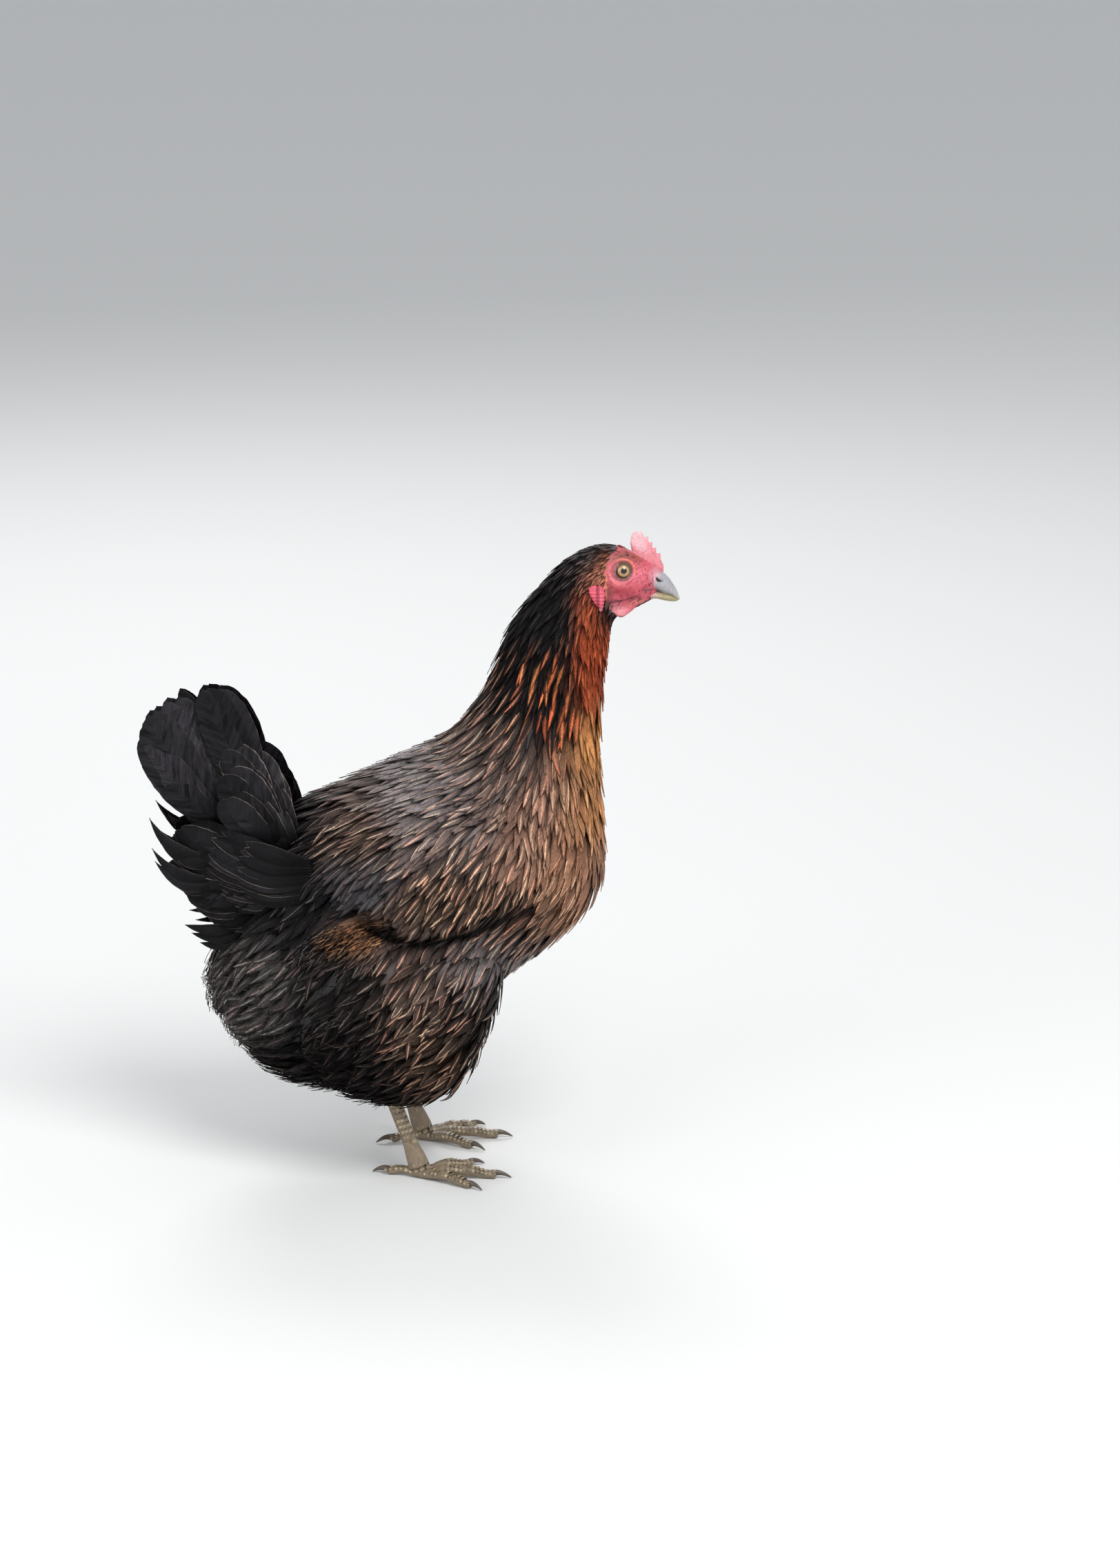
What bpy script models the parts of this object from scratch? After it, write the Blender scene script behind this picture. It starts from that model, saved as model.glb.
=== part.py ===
"""Standing hen, life size, as a still model in named pieces.

The frame: +X is the way the hen faces, +Y its left, +Z up. The origin lies on the floor under
the middle of the hen's box, between the beak tip and the tail tip. Sizes are in metres.

The trunk, neck and head are one loft along a bent spine, parted by thin gaps. Every other piece
is a loft or a fan of its own, cut back by a slightly grown copy of the piece that it grows from.
"""

import math

import bpy
import numpy as np

# Driving dimensions
LENGTH = 0.3825  # beak tip to tail tip, level
HEIGHT = 0.4622  # floor to the tip of the comb
GAP = 0.0004  # seam between neighbouring pieces
AROUND = 24  # corners of a large section
BEAK_TIP_X = LENGTH / 2
SHARP = math.radians(50)  # edges sharper than this are not shaded smooth

# The spine loft from rump to beak root. Each station is a flat section, given by its upper point
# (x, z), its lower point (x, z), half its width and how square it is (2 is an ellipse).
RUMP_POLE = (-0.1415, 0.140)
TRUNK = [
    ((-0.137, 0.170), (-0.133, 0.112), 0.027, 2.0),
    ((-0.122, 0.204), (-0.118, 0.087), 0.049, 2.0),
    ((-0.104, 0.241), (-0.096, 0.067), 0.064, 2.1),
    ((-0.080, 0.269), (-0.066, 0.057), 0.073, 2.1),
    ((-0.046, 0.285), (-0.024, 0.060), 0.080, 2.1),
    ((-0.016, 0.298), (0.026, 0.092), 0.083, 2.1),
    ((0.008, 0.309), (0.066, 0.130), 0.082, 2.1),
    ((0.024, 0.317), (0.100, 0.157), 0.077, 2.0),
    ((0.033, 0.325), (0.126, 0.183), 0.070, 2.0),
]
NECK = [
    ((0.041, 0.335), (0.1395, 0.214), 0.060, 2.0),
    ((0.049, 0.347), (0.1395, 0.251), 0.050, 2.0),
    ((0.055, 0.360), (0.1375, 0.288), 0.0415, 2.0),
    ((0.061, 0.375), (0.1370, 0.322), 0.0360, 2.0),
    ((0.068, 0.392), (0.1390, 0.354), 0.0325, 2.0),
    ((0.079, 0.410), (0.1415, 0.378), 0.0290, 2.0),
    ((0.094, 0.427), (0.1430, 0.392), 0.0260, 2.0),
]
HEAD = [
    ((0.1095, 0.4425), (0.1455, 0.3990), 0.0225, 2.0),
    ((0.1290, 0.4520), (0.1520, 0.4045), 0.0200, 2.1),
    ((0.1450, 0.4525), (0.1605, 0.4092), 0.0180, 2.2),
    ((0.1590, 0.4470), (0.1680, 0.4130), 0.0125, 2.1),
    ((0.1710, 0.4395), (0.1740, 0.4165), 0.0076, 2.0),
    ((0.1780, 0.4335), (0.1780, 0.4190), 0.0046, 2.0),
]
BILL_POLE = (0.1805, 0.4260)

# Folded wing, laid over the flank: sections from the wrist back to the tip, as upper point, lower
# point (x, z), and how far the section swells off the flank.
WING = [
    ((0.1040, 0.2400), (0.1045, 0.2220), 0.0060),
    ((0.0960, 0.2540), (0.0980, 0.2110), 0.0085),
    ((0.0790, 0.2690), (0.0780, 0.2010), 0.0110),
    ((0.0560, 0.2800), (0.0520, 0.1930), 0.0120),
    ((0.0280, 0.2850), (0.0240, 0.1860), 0.0125),
    ((-0.0020, 0.2800), (-0.0060, 0.1845), 0.0120),
    ((-0.0290, 0.2640), (-0.0320, 0.1950), 0.0110),
    ((-0.0530, 0.2450), (-0.0560, 0.2100), 0.0090),
    ((-0.0740, 0.2310), (-0.0750, 0.2210), 0.0065),
]
WING_EDGE = 0.0028  # stand-off of the wing's rim
WING_DEPTH = 0.005  # how far the wing reaches into the flank before it is cut clear
WING_ACROSS = 6
WING_GROW_SPAN = 0.02  # the wing's cutter widens by the gap over this length of its outline

# Thigh: level sections from inside the flank down to the hock, as front x, back x, height,
# distance of the middle from the mid-plane, and half the thickness.
THIGH_TOP = (0.004, 0.050, 0.1815)
THIGH = [
    (0.058, -0.052, 0.1780, 0.0510, 0.0300),
    (0.068, -0.066, 0.1620, 0.0530, 0.0345),
    (0.061, -0.076, 0.1360, 0.0530, 0.0350),
    (0.050, -0.077, 0.1060, 0.0520, 0.0340),
    (0.039, -0.062, 0.0800, 0.0490, 0.0290),
    (0.027, -0.042, 0.0640, 0.0450, 0.0200),
]
THIGH_FOOT = (-0.002, 0.042, 0.0560)
THIGH_SQUARE = 2.4
THIGH_AROUND = 20

# Tail: the cushion of coverts round its root, and two fans of quills that lean on each other.
CUSHION = [
    ((-0.080, 0.268), (-0.094, 0.150), 0.060, 2.3),
    ((-0.102, 0.279), (-0.124, 0.157), 0.057, 2.3),
    ((-0.126, 0.277), (-0.146, 0.176), 0.047, 2.2),
    ((-0.150, 0.274), (-0.161, 0.199), 0.036, 2.1),
    ((-0.169, 0.268), (-0.172, 0.217), 0.025, 2.0),
    ((-0.179, 0.258), (-0.180, 0.231), 0.013, 2.0),
]
CUSHION_POLE = (-0.184, 0.245)
CUSHION_AROUND = 20
FAN_ROOT = (-0.092, 0.254)
# Reach of the fan at each bearing, in degrees up from the way the hen faces.
FAN_REACH = [(84, 0.036), (90, 0.047), (97, 0.056), (103, 0.065), (107, 0.079), (111, 0.0935),
             (117, 0.103), (126, 0.109), (135, 0.1125), (143, 0.1165), (150, 0.1146), (157, 0.104),
             (166, 0.088)]
FAN_QUILLS = 7
FAN_NOTCH = 0.020  # share of the reach that the notches between quill tips take
FAN_RIDGE_Y = 0.0016
FAN_SPREAD_Y = 0.034
FAN_THICK = 0.0062
FAN_EDGE = 0.0010
FAN_OUT = (0.16, 0.55, 0.85, 1.0)  # shares of the reach at which the fan has points

# Legs
HOCK = (-0.022, 0.040, 0.086)
BALL = (0.006, 0.040, 0.0085)
SHANK_DEPTH, SHANK_WIDTH = 0.0060, 0.0046
SHANK_ROUND = 12
SHANK_FLOOR = 0.0012  # the shank's lower end stays this far off the floor
SHANK_STATIONS = [(0, 1.1), (0.2, 1.0), (0.45, 0.94), (0.7, 0.96), (0.86, 1.12), (0.96, 1.3),
                  (1, 1.28)]  # share of the way down, and thickness there
BALL_REACH = 0.0052  # how far the shank runs on past the ball's middle
TOE_ROUND = 8
TOE_STATIONS = 7
TOE_RISE = 0.0042  # height that a toe's root has over its pads
TOE_START = 0.003  # how far from the ball's middle a toe begins
# Toes: bearing from straight ahead, outwards positive, in degrees; length; root and tip radius.
TOES = {
    "middle": (3.0, 0.055, 0.0046, 0.0032),
    "inner": (-30.0, 0.042, 0.0042, 0.0030),
    "outer": (33.0, 0.044, 0.0042, 0.0030),
    "back": (196.0, 0.023, 0.0036, 0.0028),
}
CLAW_LENGTH = {"middle": 0.013, "inner": 0.012, "outer": 0.011, "back": 0.011}
CLAW_ROOT, CLAW_TIP = 0.0022, 0.0004
CLAW_ROUND = 6
CLAW_HEIGHT, CLAW_ARCH, CLAW_FALL = 0.0032, 0.0008, 0.0022
CLAW_BURIED = 0.002  # length of claw that the toe hides

# Head furniture
EYE_AT = (0.1500, 0.0112, 0.4362)
EYE_RADIUS = 0.0072
EYE_ROUND = 12
COMB_BACK_X, COMB_FRONT_X = 0.1555, 0.1805
COMB_TEETH = 5
COMB_THICK = 0.0018
COMB_CREST = [(0, 0.452), (0.06, 0.4605), (0.22, HEIGHT), (0.34, 0.4615), (0.50, 0.4565),
              (0.66, 0.4510), (0.80, 0.4475), (0.92, 0.4430), (1, 0.4360)]
BILL_UPPER = [
    ((0.1670, 0.4355), (0.1665, 0.4215), 0.0078),
    ((0.1755, 0.4345), (0.1740, 0.4195), 0.0074),
    ((0.1816, 0.4308), (0.1795, 0.4180), 0.0062),
    ((0.1862, 0.4242), (0.1845, 0.4172), 0.0044),
    ((0.1893, 0.4190), (0.1880, 0.4152), 0.0024),
]
BILL_UPPER_TIP = (BEAK_TIP_X, 0.4137)
BILL_LOWER = [
    ((0.1655, 0.4225), (0.1655, 0.4145), 0.0074),
    ((0.1740, 0.4215), (0.1742, 0.4150), 0.0067),
    ((0.1795, 0.4200), (0.1798, 0.4135), 0.0054),
    ((0.1845, 0.4188), (0.1846, 0.4127), 0.0038),
    ((0.1880, 0.4165), (0.1882, 0.4127), 0.0022),
]
BILL_LOWER_TIP = (0.1896, 0.4136)
BILL_AROUND = 12
# Hanging flaps of skin: centre, height, length, thickness, and lean in degrees, for the left side.
LOBES = {
    "earlobe": ((0.1325, 0.0215, 0.4185), 0.020, 0.0115, 0.0050, -12.0),
    "wattle": ((0.1500, 0.0090, 0.4088), 0.0125, 0.022, 0.0036, 10.0),
}
LOBE_POLE = 0.0008


def smooth(stations, steps):
    """Catmull-Rom curve through the rows of a table, with the given steps between two rows."""
    rows = np.array(stations, float)
    ends = np.vstack([2 * rows[0] - rows[1], rows, 2 * rows[-1] - rows[-2]])
    count = (len(rows) - 1) * steps + 1
    at = np.linspace(0, len(rows) - 1, count)
    low = np.minimum(at.astype(int), len(rows) - 2)
    f = (at - low)[:, None]
    a, b, c, d = (ends[low + k] for k in range(4))
    return 0.5 * (2 * b + (c - a) * f + (2 * a - 5 * b + 4 * c - d) * f**2
                  + (3 * b - a - 3 * c + d) * f**3)


def power(value, exponent):
    """The value's size raised to the exponent, with the value's sign kept."""
    return np.sign(value) * np.abs(value) ** exponent


def pair_rings(rows, grow=0.0, around=AROUND):
    """Sections that stand on the mid-plane. A row holds the upper x and z, the lower x and z,
    half the width and the squareness."""
    turn = np.arange(around) * 2 * math.pi / around
    exponent = 2 / rows[:, 5:6]
    up, side = power(np.cos(turn), exponent), power(np.sin(turn), exponent)
    middle = (rows[:, 0:2] + rows[:, 2:4]) / 2
    half = (rows[:, 0:2] - rows[:, 2:4]) / 2
    half *= 1 + grow / np.linalg.norm(half, axis=1, keepdims=True)
    x = middle[:, 0:1] + half[:, 0:1] * up
    z = middle[:, 1:2] + half[:, 1:2] * up
    y = (rows[:, 4:5] + grow) * side
    return np.stack([x, y, z], axis=2)


def flat_rows(stations):
    """Stations of (upper, lower, half width, squareness) as rows of numbers."""
    return [(*s[0], *s[1], *s[2:], *((2.0,) if len(s) == 3 else ())) for s in stations]


def flank(rows, x, z):
    """Half width of the spine loft where a line across the hen, level at (x, z), meets its side.
    The section through (x, z) is found by halving; the width then follows from its outline."""
    low = np.zeros(np.shape(x))
    high = low + len(rows) - 1
    for _ in range(26):
        middle = (low + high) / 2
        up_x, up_z, down_x, down_z = (np.interp(middle, np.arange(len(rows)), rows[:, k])
                                      for k in range(4))
        ahead = (x - down_x) * (up_z - down_z) > (z - down_z) * (up_x - down_x)
        low, high = np.where(ahead, middle, low), np.where(ahead, high, middle)
    wide, square = (np.interp(low, np.arange(len(rows)), rows[:, k]) for k in (4, 5))
    half_x, half_z = (up_x - down_x) / 2, (up_z - down_z) / 2
    rise = (x - down_x - half_x) * half_x + (z - down_z - half_z) * half_z
    rise = rise / (half_x**2 + half_z**2)
    return wide * np.maximum(1 - np.abs(rise) ** square, 0) ** (1 / square)


def axis_rings(path, depth, width, grow=0.0, around=TOE_ROUND, floor=None):
    """Round sections across a path of points: depth along the section's own up, width across."""
    path = np.array(path, float)
    run = np.gradient(path, axis=0)
    run /= np.linalg.norm(run, axis=1, keepdims=True)
    across = np.cross(run, [0.0, 0.0, 1.0])
    flat = np.linalg.norm(across, axis=1, keepdims=True) < 1e-6
    across = np.where(flat, [0.0, 1.0, 0.0], across)
    across /= np.linalg.norm(across, axis=1, keepdims=True)
    up = np.cross(across, run)
    turn = (np.arange(around) + 0.5) * 2 * math.pi / around
    depth = (np.ones(len(path)) * depth + grow)[:, None, None]
    width = (np.ones(len(path)) * width + grow)[:, None, None]
    rings = (path[:, None] + up[:, None] * np.cos(turn)[:, None] * depth
             + across[:, None] * np.sin(turn)[:, None] * width)
    if floor is not None:
        rings[:, :, 2] = np.maximum(rings[:, :, 2], floor)
    return rings


def new_object(name, points, faces, finish):
    """A mesh object whose faces point outwards."""
    points = np.array(points, float)
    triangles = []
    for face in faces:
        for k in range(1, len(face) - 1):
            triangles.append((face[0], face[k], face[k + 1]))
    if np.linalg.det(points[np.array(triangles)]).sum() < 0:
        triangles = [t[::-1] for t in triangles]
    mesh = bpy.data.meshes.new(name)
    mesh.from_pydata(points.tolist(), [], triangles)
    mesh.shade_smooth()
    mesh.set_sharp_from_angle(angle=SHARP)
    obj = bpy.data.objects.new(name, mesh)
    bpy.context.scene.collection.objects.link(obj)
    if finish is not None:
        mesh.materials.append(finish)
    return obj


def loft(name, rings, finish, first=None, last=None):
    """A closed skin over rings of equal count. The ends close on a pole, or flat if there is none."""
    count, around = rings.shape[:2]
    points = [*rings.reshape(-1, 3)]
    faces = []
    for i in range(count - 1):
        for j in range(around):
            k = (j + 1) % around
            a, b = i * around, (i + 1) * around
            faces.append((a + j, a + k, b + k, b + j))
    for start, pole, forward in ((0, first, False), ((count - 1) * around, last, True)):
        ring = [start + j for j in range(around)]
        points.append(rings.reshape(-1, 3)[ring].mean(axis=0) if pole is None else np.array(pole))
        top = len(points) - 1
        for j in range(around):
            pair = (ring[j], ring[(j + 1) % around])
            faces.append((*pair, top) if forward else (*pair[::-1], top))
    return new_object(name, points, faces, finish)


def slab(name, outer, inner, finish):
    """A closed sheet between two grids of points of the same size."""
    n, m = outer.shape[:2]
    points = np.concatenate([outer.reshape(-1, 3), inner.reshape(-1, 3)])
    faces = []
    for i in range(n - 1):
        for j in range(m - 1):
            a = i * m + j
            quad = (a, a + 1, a + m + 1, a + m)
            faces += [quad, tuple(q + n * m for q in reversed(quad))]
    rim = [j for j in range(m)] + [i * m + m - 1 for i in range(1, n)]
    rim += [(n - 1) * m + j for j in range(m - 2, -1, -1)] + [i * m for i in range(n - 2, 0, -1)]
    for here, there in zip(rim, rim[1:] + rim[:1]):
        faces.append((there, here, here + n * m, there + n * m))
    return new_object(name, points, faces, finish)


def cutter(obj):
    """Marks an object as a helper that only cuts others."""
    obj.hide_render = True
    obj.display_type = "WIRE"
    return obj


def carve(obj, *cutters):
    """Cuts the grown copies of the neighbours out of a piece."""
    for other in cutters:
        boolean = obj.modifiers.new("clear_of_" + other.name, "BOOLEAN")
        boolean.operation = "DIFFERENCE"
        boolean.solver = "EXACT"
        boolean.object = other
    return obj


def finish_of(name, colour, roughness, metallic=0.0):
    """A plain Principled material."""
    made = bpy.data.materials.new(name)
    made.use_nodes = True
    shader = made.node_tree.nodes["Principled BSDF"]
    shader.inputs["Base Color"].default_value = (*colour, 1.0)
    shader.inputs["Roughness"].default_value = roughness
    shader.inputs["Metallic"].default_value = metallic
    made.diffuse_color = (*colour, 1.0)
    return made


def build_spine(finishes):
    """Trunk, neck and head from one loft, and their grown copies."""
    steps = 2
    rows = smooth(flat_rows(TRUNK + NECK + HEAD), steps)
    neck_at, head_at = len(TRUNK) * steps, (len(TRUNK) + len(NECK)) * steps

    def parted(low, high):
        """The rows from low to high, with the first moved on by a little to leave the seam."""
        part = rows[low:high + 1].copy()
        if low:
            step = rows[low + 1, 0:4] - rows[low, 0:4]
            nearest = min(np.hypot(*step[0:2]), np.hypot(*step[2:4]))
            part[0] += (rows[low + 1] - rows[low]) * GAP / nearest
        return part

    def poles(ends, grow):
        """The end points of a loft whose first or last end closes on a pole."""
        first = (RUMP_POLE[0] - grow, 0, RUMP_POLE[1])
        last = (BILL_POLE[0] + grow, 0, BILL_POLE[1])
        return (first if ends[0] else None), (last if ends[1] else None)

    made = {}
    for name, low, high, ends in (
        ("trunk", 0, neck_at, (True, False)),
        ("neck", neck_at, head_at, (False, False)),
        ("head", head_at, len(rows) - 1, (False, True)),
    ):
        part = parted(low, high)
        made[name] = loft(name, pair_rings(part), finishes[name], *poles(ends, 0.0))
    made["rows"] = rows
    whole = (True, True)
    made["spine_grown"] = cutter(loft("spine_grown", pair_rings(rows, GAP), None, *poles(whole, GAP)))
    return made


def build_wing(side, word, finish, rows, spine_grown):
    """A folded wing: a shell that swells off the flank, cut to the trunk's shape."""
    stations = np.array([(*s[0], *s[1], s[2]) for s in WING])
    across = np.linspace(0, 1, WING_ACROSS)
    x = stations[:, 0:1] + (stations[:, 2:3] - stations[:, 0:1]) * across
    z = stations[:, 1:2] + (stations[:, 3:4] - stations[:, 1:2]) * across
    swell = (1 - np.abs(2 * across - 1) ** 3) * (stations[:, 4:5] - WING_EDGE)
    wide = flank(rows, x, z)

    def shape(name, grow, material):
        """The wing as a slab between its outer face and a face inside the flank."""
        outer = np.stack([x, side * (wide + WING_EDGE + swell + grow), z], axis=2)
        inner = np.stack([x, side * (wide - WING_DEPTH - grow), z], axis=2)
        middle = outer.mean(axis=(0, 1)) * [1, 0, 1]
        spread = 1 + grow / WING_GROW_SPAN
        flat = np.array([spread, 1, spread])
        outer, inner = ((face - middle) * flat + middle for face in (outer, inner))
        return slab(name, outer, inner, material)

    grown = cutter(shape("wing_grown_" + word, GAP, None))
    return carve(shape("wing_" + word, 0.0, finish), spine_grown), grown


def build_thigh(side, word, finish, cutters):
    """The feathered thigh, from inside the flank down to the hock."""

    def shape(name, grow, material):
        """The thigh's level sections, grown by a little for a cutter."""
        rows = smooth(THIGH, 2)
        turn = np.arange(THIGH_AROUND) * 2 * math.pi / THIGH_AROUND
        long = (rows[:, 0:1] - rows[:, 1:2]) / 2 + grow
        x = (rows[:, 0:1] + rows[:, 1:2]) / 2 + long * power(np.cos(turn), 2 / THIGH_SQUARE)
        y = side * (rows[:, 3:4] + (rows[:, 4:5] + grow) * power(np.sin(turn), 2 / THIGH_SQUARE))
        z = np.repeat(rows[:, 2:3], len(turn), axis=1)
        top = (THIGH_TOP[0], side * THIGH_TOP[1], THIGH_TOP[2] + grow)
        foot = (THIGH_FOOT[0], side * THIGH_FOOT[1], THIGH_FOOT[2] - grow)
        return loft(name, np.stack([x, y, z], axis=2), material, top, foot)

    grown = cutter(shape("thigh_grown_" + word, GAP, None))
    return carve(shape("thigh_" + word, 0.0, finish), *cutters), grown


def build_cushion(finish, spine_grown):
    """The coverts that wrap the root of the tail, above and below."""
    rows = smooth(flat_rows(CUSHION), 2)
    pole = (CUSHION_POLE[0], 0, CUSHION_POLE[1])
    piece = loft("tail_cushion", pair_rings(rows, 0.0, CUSHION_AROUND), finish, None, pole)
    pole = (CUSHION_POLE[0] - GAP, 0, CUSHION_POLE[1])
    grown = cutter(loft("cushion_grown", pair_rings(rows, GAP, CUSHION_AROUND), None, None, pole))
    return carve(piece, spine_grown), grown


def build_fan(side, word, finish, cutters):
    """One half of the tail: a fan of quills whose rounded tips notch the rim. It leans on its
    mirror image along the ridge, and stands off from the mid-plane lower down."""
    low, high = FAN_REACH[0][0], FAN_REACH[-1][0]
    share = np.linspace(0, 1, FAN_QUILLS * 3 + 1)
    bearing = low + (high - low) * share
    reach = np.interp(bearing, *np.array(FAN_REACH, float).T)
    reach *= 1 - FAN_NOTCH * (1 - np.abs(np.sin(math.pi * FAN_QUILLS * share)))
    out = np.array(FAN_OUT)
    angle = np.radians(bearing)[:, None]
    x = FAN_ROOT[0] + np.cos(angle) * reach[:, None] * out
    z = FAN_ROOT[1] + np.sin(angle) * reach[:, None] * out
    lean = FAN_RIDGE_Y + (FAN_SPREAD_Y - FAN_RIDGE_Y) * share[:, None] ** 0.8 * np.sin(
        math.pi * (0.22 + 0.48 * out))
    thick = FAN_EDGE + (FAN_THICK - FAN_EDGE) * np.sin(math.pi * (0.05 + 0.9 * share[:, None])) * (
        1 - out**4)
    near = np.maximum(lean - thick / 2, GAP / 2)
    inner = np.stack([x, side * near, z], axis=2)
    outer = np.stack([x, side * (near + thick), z], axis=2)
    return carve(slab("tail_" + word, outer, inner, finish), *cutters)


def build_leg(side, word, finishes, thigh_grown):
    """Shank with the ball of the foot, four toes and their claws."""
    hock, ball = np.array(HOCK) * [1, side, 1], np.array(BALL) * [1, side, 1]
    share, swell = np.array(SHANK_STATIONS).T
    path = hock + (ball - hock) * share[:, None]

    def shank(name, grow, material):
        """Hock to ball, thinnest in the middle."""
        floor = SHANK_FLOOR - grow
        end = ball + (ball - hock) / np.linalg.norm(ball - hock) * (BALL_REACH + grow)
        rings = axis_rings(path, SHANK_DEPTH * swell, SHANK_WIDTH * swell, grow, SHANK_ROUND, floor)
        return loft(name, rings, material, hock - (ball - hock) * 0.03, (*end[:2], max(end[2], floor)))

    carve(shank("shank_" + word, 0.0, finishes["scale"]), thigh_grown)
    shank_grown = cutter(shank("shank_grown_" + word, GAP, None))

    toes_grown = []
    for toe, (bearing, length, root, tip) in TOES.items():
        turn = math.radians(bearing)
        ahead = np.array([math.cos(turn), side * math.sin(turn), 0])
        share = np.linspace(0, 1, TOE_STATIONS)
        pads = 1 + 0.06 * np.cos(6 * math.pi * share)
        radius = (root + (tip - root) * share) * pads
        # The toe leaves the ball a little high and settles onto its pads.
        height = radius * 0.86 + TOE_RISE * np.maximum(0, 1 - share / 0.3) ** 2
        path = ball * [1, 1, 0] + ahead * (TOE_START + share * (length - TOE_START))[:, None]
        path[:, 2] = height

        def toe_shape(name, grow, material):
            """A toe with its pads, flat where it meets the floor."""
            floor = 0.0 if material else -GAP
            rings = axis_rings(path, radius, radius * 0.95, grow, TOE_ROUND, floor)
            end = path[-1] + ahead * (tip * 0.5 + grow)
            return loft(name, rings, material, path[0], end)

        piece = toe_shape(f"toe_{toe}_{word}", 0.0, finishes["scale"])
        carve(piece, shank_grown, *toes_grown)
        grown = cutter(toe_shape(f"toe_{toe}_grown_{word}", GAP, None))
        if toe != "back":
            toes_grown.append(grown)

        share = np.linspace(0, 1, 5)
        long = CLAW_LENGTH[toe]
        claw = path[-1] + ahead * (share * long - CLAW_BURIED)[:, None]
        claw[:, 2] = CLAW_HEIGHT + CLAW_ARCH * np.sin(math.pi * share) - CLAW_FALL * share**2
        thick = CLAW_ROOT + (CLAW_TIP - CLAW_ROOT) * share**0.8
        rings = axis_rings(claw, thick, thick * 0.75, 0.0, CLAW_ROUND)
        carve(loft(f"claw_{toe}_{word}", rings, finishes["horn"]), grown)


def build_eye(side, word, finish):
    """An eyeball, and the grown copy that clears its socket."""
    made = []
    for name, radius, material in (
        ("eye_" + word, EYE_RADIUS, finish),
        ("socket_" + word, EYE_RADIUS + GAP, None),
    ):
        lat = np.radians(np.linspace(-72, 72, 7))
        turn = np.arange(EYE_ROUND) * 2 * math.pi / EYE_ROUND
        centre = np.array(EYE_AT) * [1, side, 1]
        rings = centre + radius * np.stack(
            [np.cos(lat)[:, None] * np.cos(turn), np.sin(lat)[:, None] * np.ones(EYE_ROUND),
             np.cos(lat)[:, None] * np.sin(turn)], axis=2)
        ends = [centre + np.array([0, s * radius, 0]) for s in (-1, 1)]
        made.append(loft(name, rings, material, *ends))
    return made[0], cutter(made[1])


def build_comb(finish, cutters):
    """A small single comb: a thin blade on the crown, cut into points that shrink forwards."""
    share = np.linspace(0, 1, COMB_TEETH * 3 + 1)
    x = COMB_BACK_X + (COMB_FRONT_X - COMB_BACK_X) * share
    crest = np.interp(share, *np.array(COMB_CREST).T)
    tooth = np.abs(np.sin(math.pi * COMB_TEETH * share)) ** 0.7
    top = crest - (0.0030 - 0.0012 * share) * (1 - tooth) * np.sin(math.pi * (0.1 + 0.85 * share))
    top += HEIGHT - top.max()
    root = 0.4420 - 0.012 * share
    half = COMB_THICK * (0.55 + 0.45 * np.sin(math.pi * np.clip(share * 0.9 + 0.05, 0, 1)))
    level = np.array([0, 0.5, 0.9, 1.0])
    width = np.array([1.15, 0.9, 0.6, 0.25])
    rise = root[:, None] + (top - root)[:, None] * level
    outer = np.stack([np.repeat(x[:, None], len(level), 1), half[:, None] * width, rise], axis=2)
    return carve(slab("comb", outer, outer * [1, -1, 1], finish), *cutters)


def build_lobe(name, finish, side, centre, tall, long, thick, lean, cutters):
    """A hanging flap of skin, drop-shaped: narrow above, rounded below, leaning by an angle."""
    drop = np.linspace(0, 1, 7)
    path = np.array(centre) * [1, side, 1] + np.stack(
        [math.sin(lean) * (0.5 - drop) * tall, 0 * drop, math.cos(lean) * (0.5 - drop) * tall], axis=1)
    swell = np.sin(math.pi * (0.12 + 0.80 * drop)) ** 0.6
    turn = np.arange(10) * 2 * math.pi / 10
    rings = path[:, None] + np.stack(
        [np.cos(turn) * (long / 2 * swell)[:, None], np.sin(turn) * (thick / 2 * swell)[:, None],
         0 * turn + 0 * swell[:, None]], axis=2)
    top, bottom = path[0] + [0, 0, LOBE_POLE], path[-1] - [0, 0, LOBE_POLE]
    return carve(loft(name, rings, finish, top, bottom), *cutters)


def build_beak(finishes, head_grown):
    """Upper and lower bill. The upper one hooks a little over the lower."""
    upper, lower = (smooth(flat_rows(bill), 1) for bill in (BILL_UPPER, BILL_LOWER))
    upper_tip, lower_tip = ((tip[0], 0, tip[1]) for tip in (BILL_UPPER_TIP, BILL_LOWER_TIP))
    upper_bill = loft("beak_upper", pair_rings(upper, 0.0, BILL_AROUND), finishes["horn"], None, upper_tip)
    carve(upper_bill, head_grown)
    grown_tip = (upper_tip[0] + GAP, 0, upper_tip[2] - GAP)
    grown = cutter(loft("beak_grown", pair_rings(upper, GAP, BILL_AROUND), None, None, grown_tip))
    lower_bill = loft("beak_lower", pair_rings(lower, 0.0, BILL_AROUND), finishes["horn"], None, lower_tip)
    carve(lower_bill, head_grown, grown)
    return grown


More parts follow.
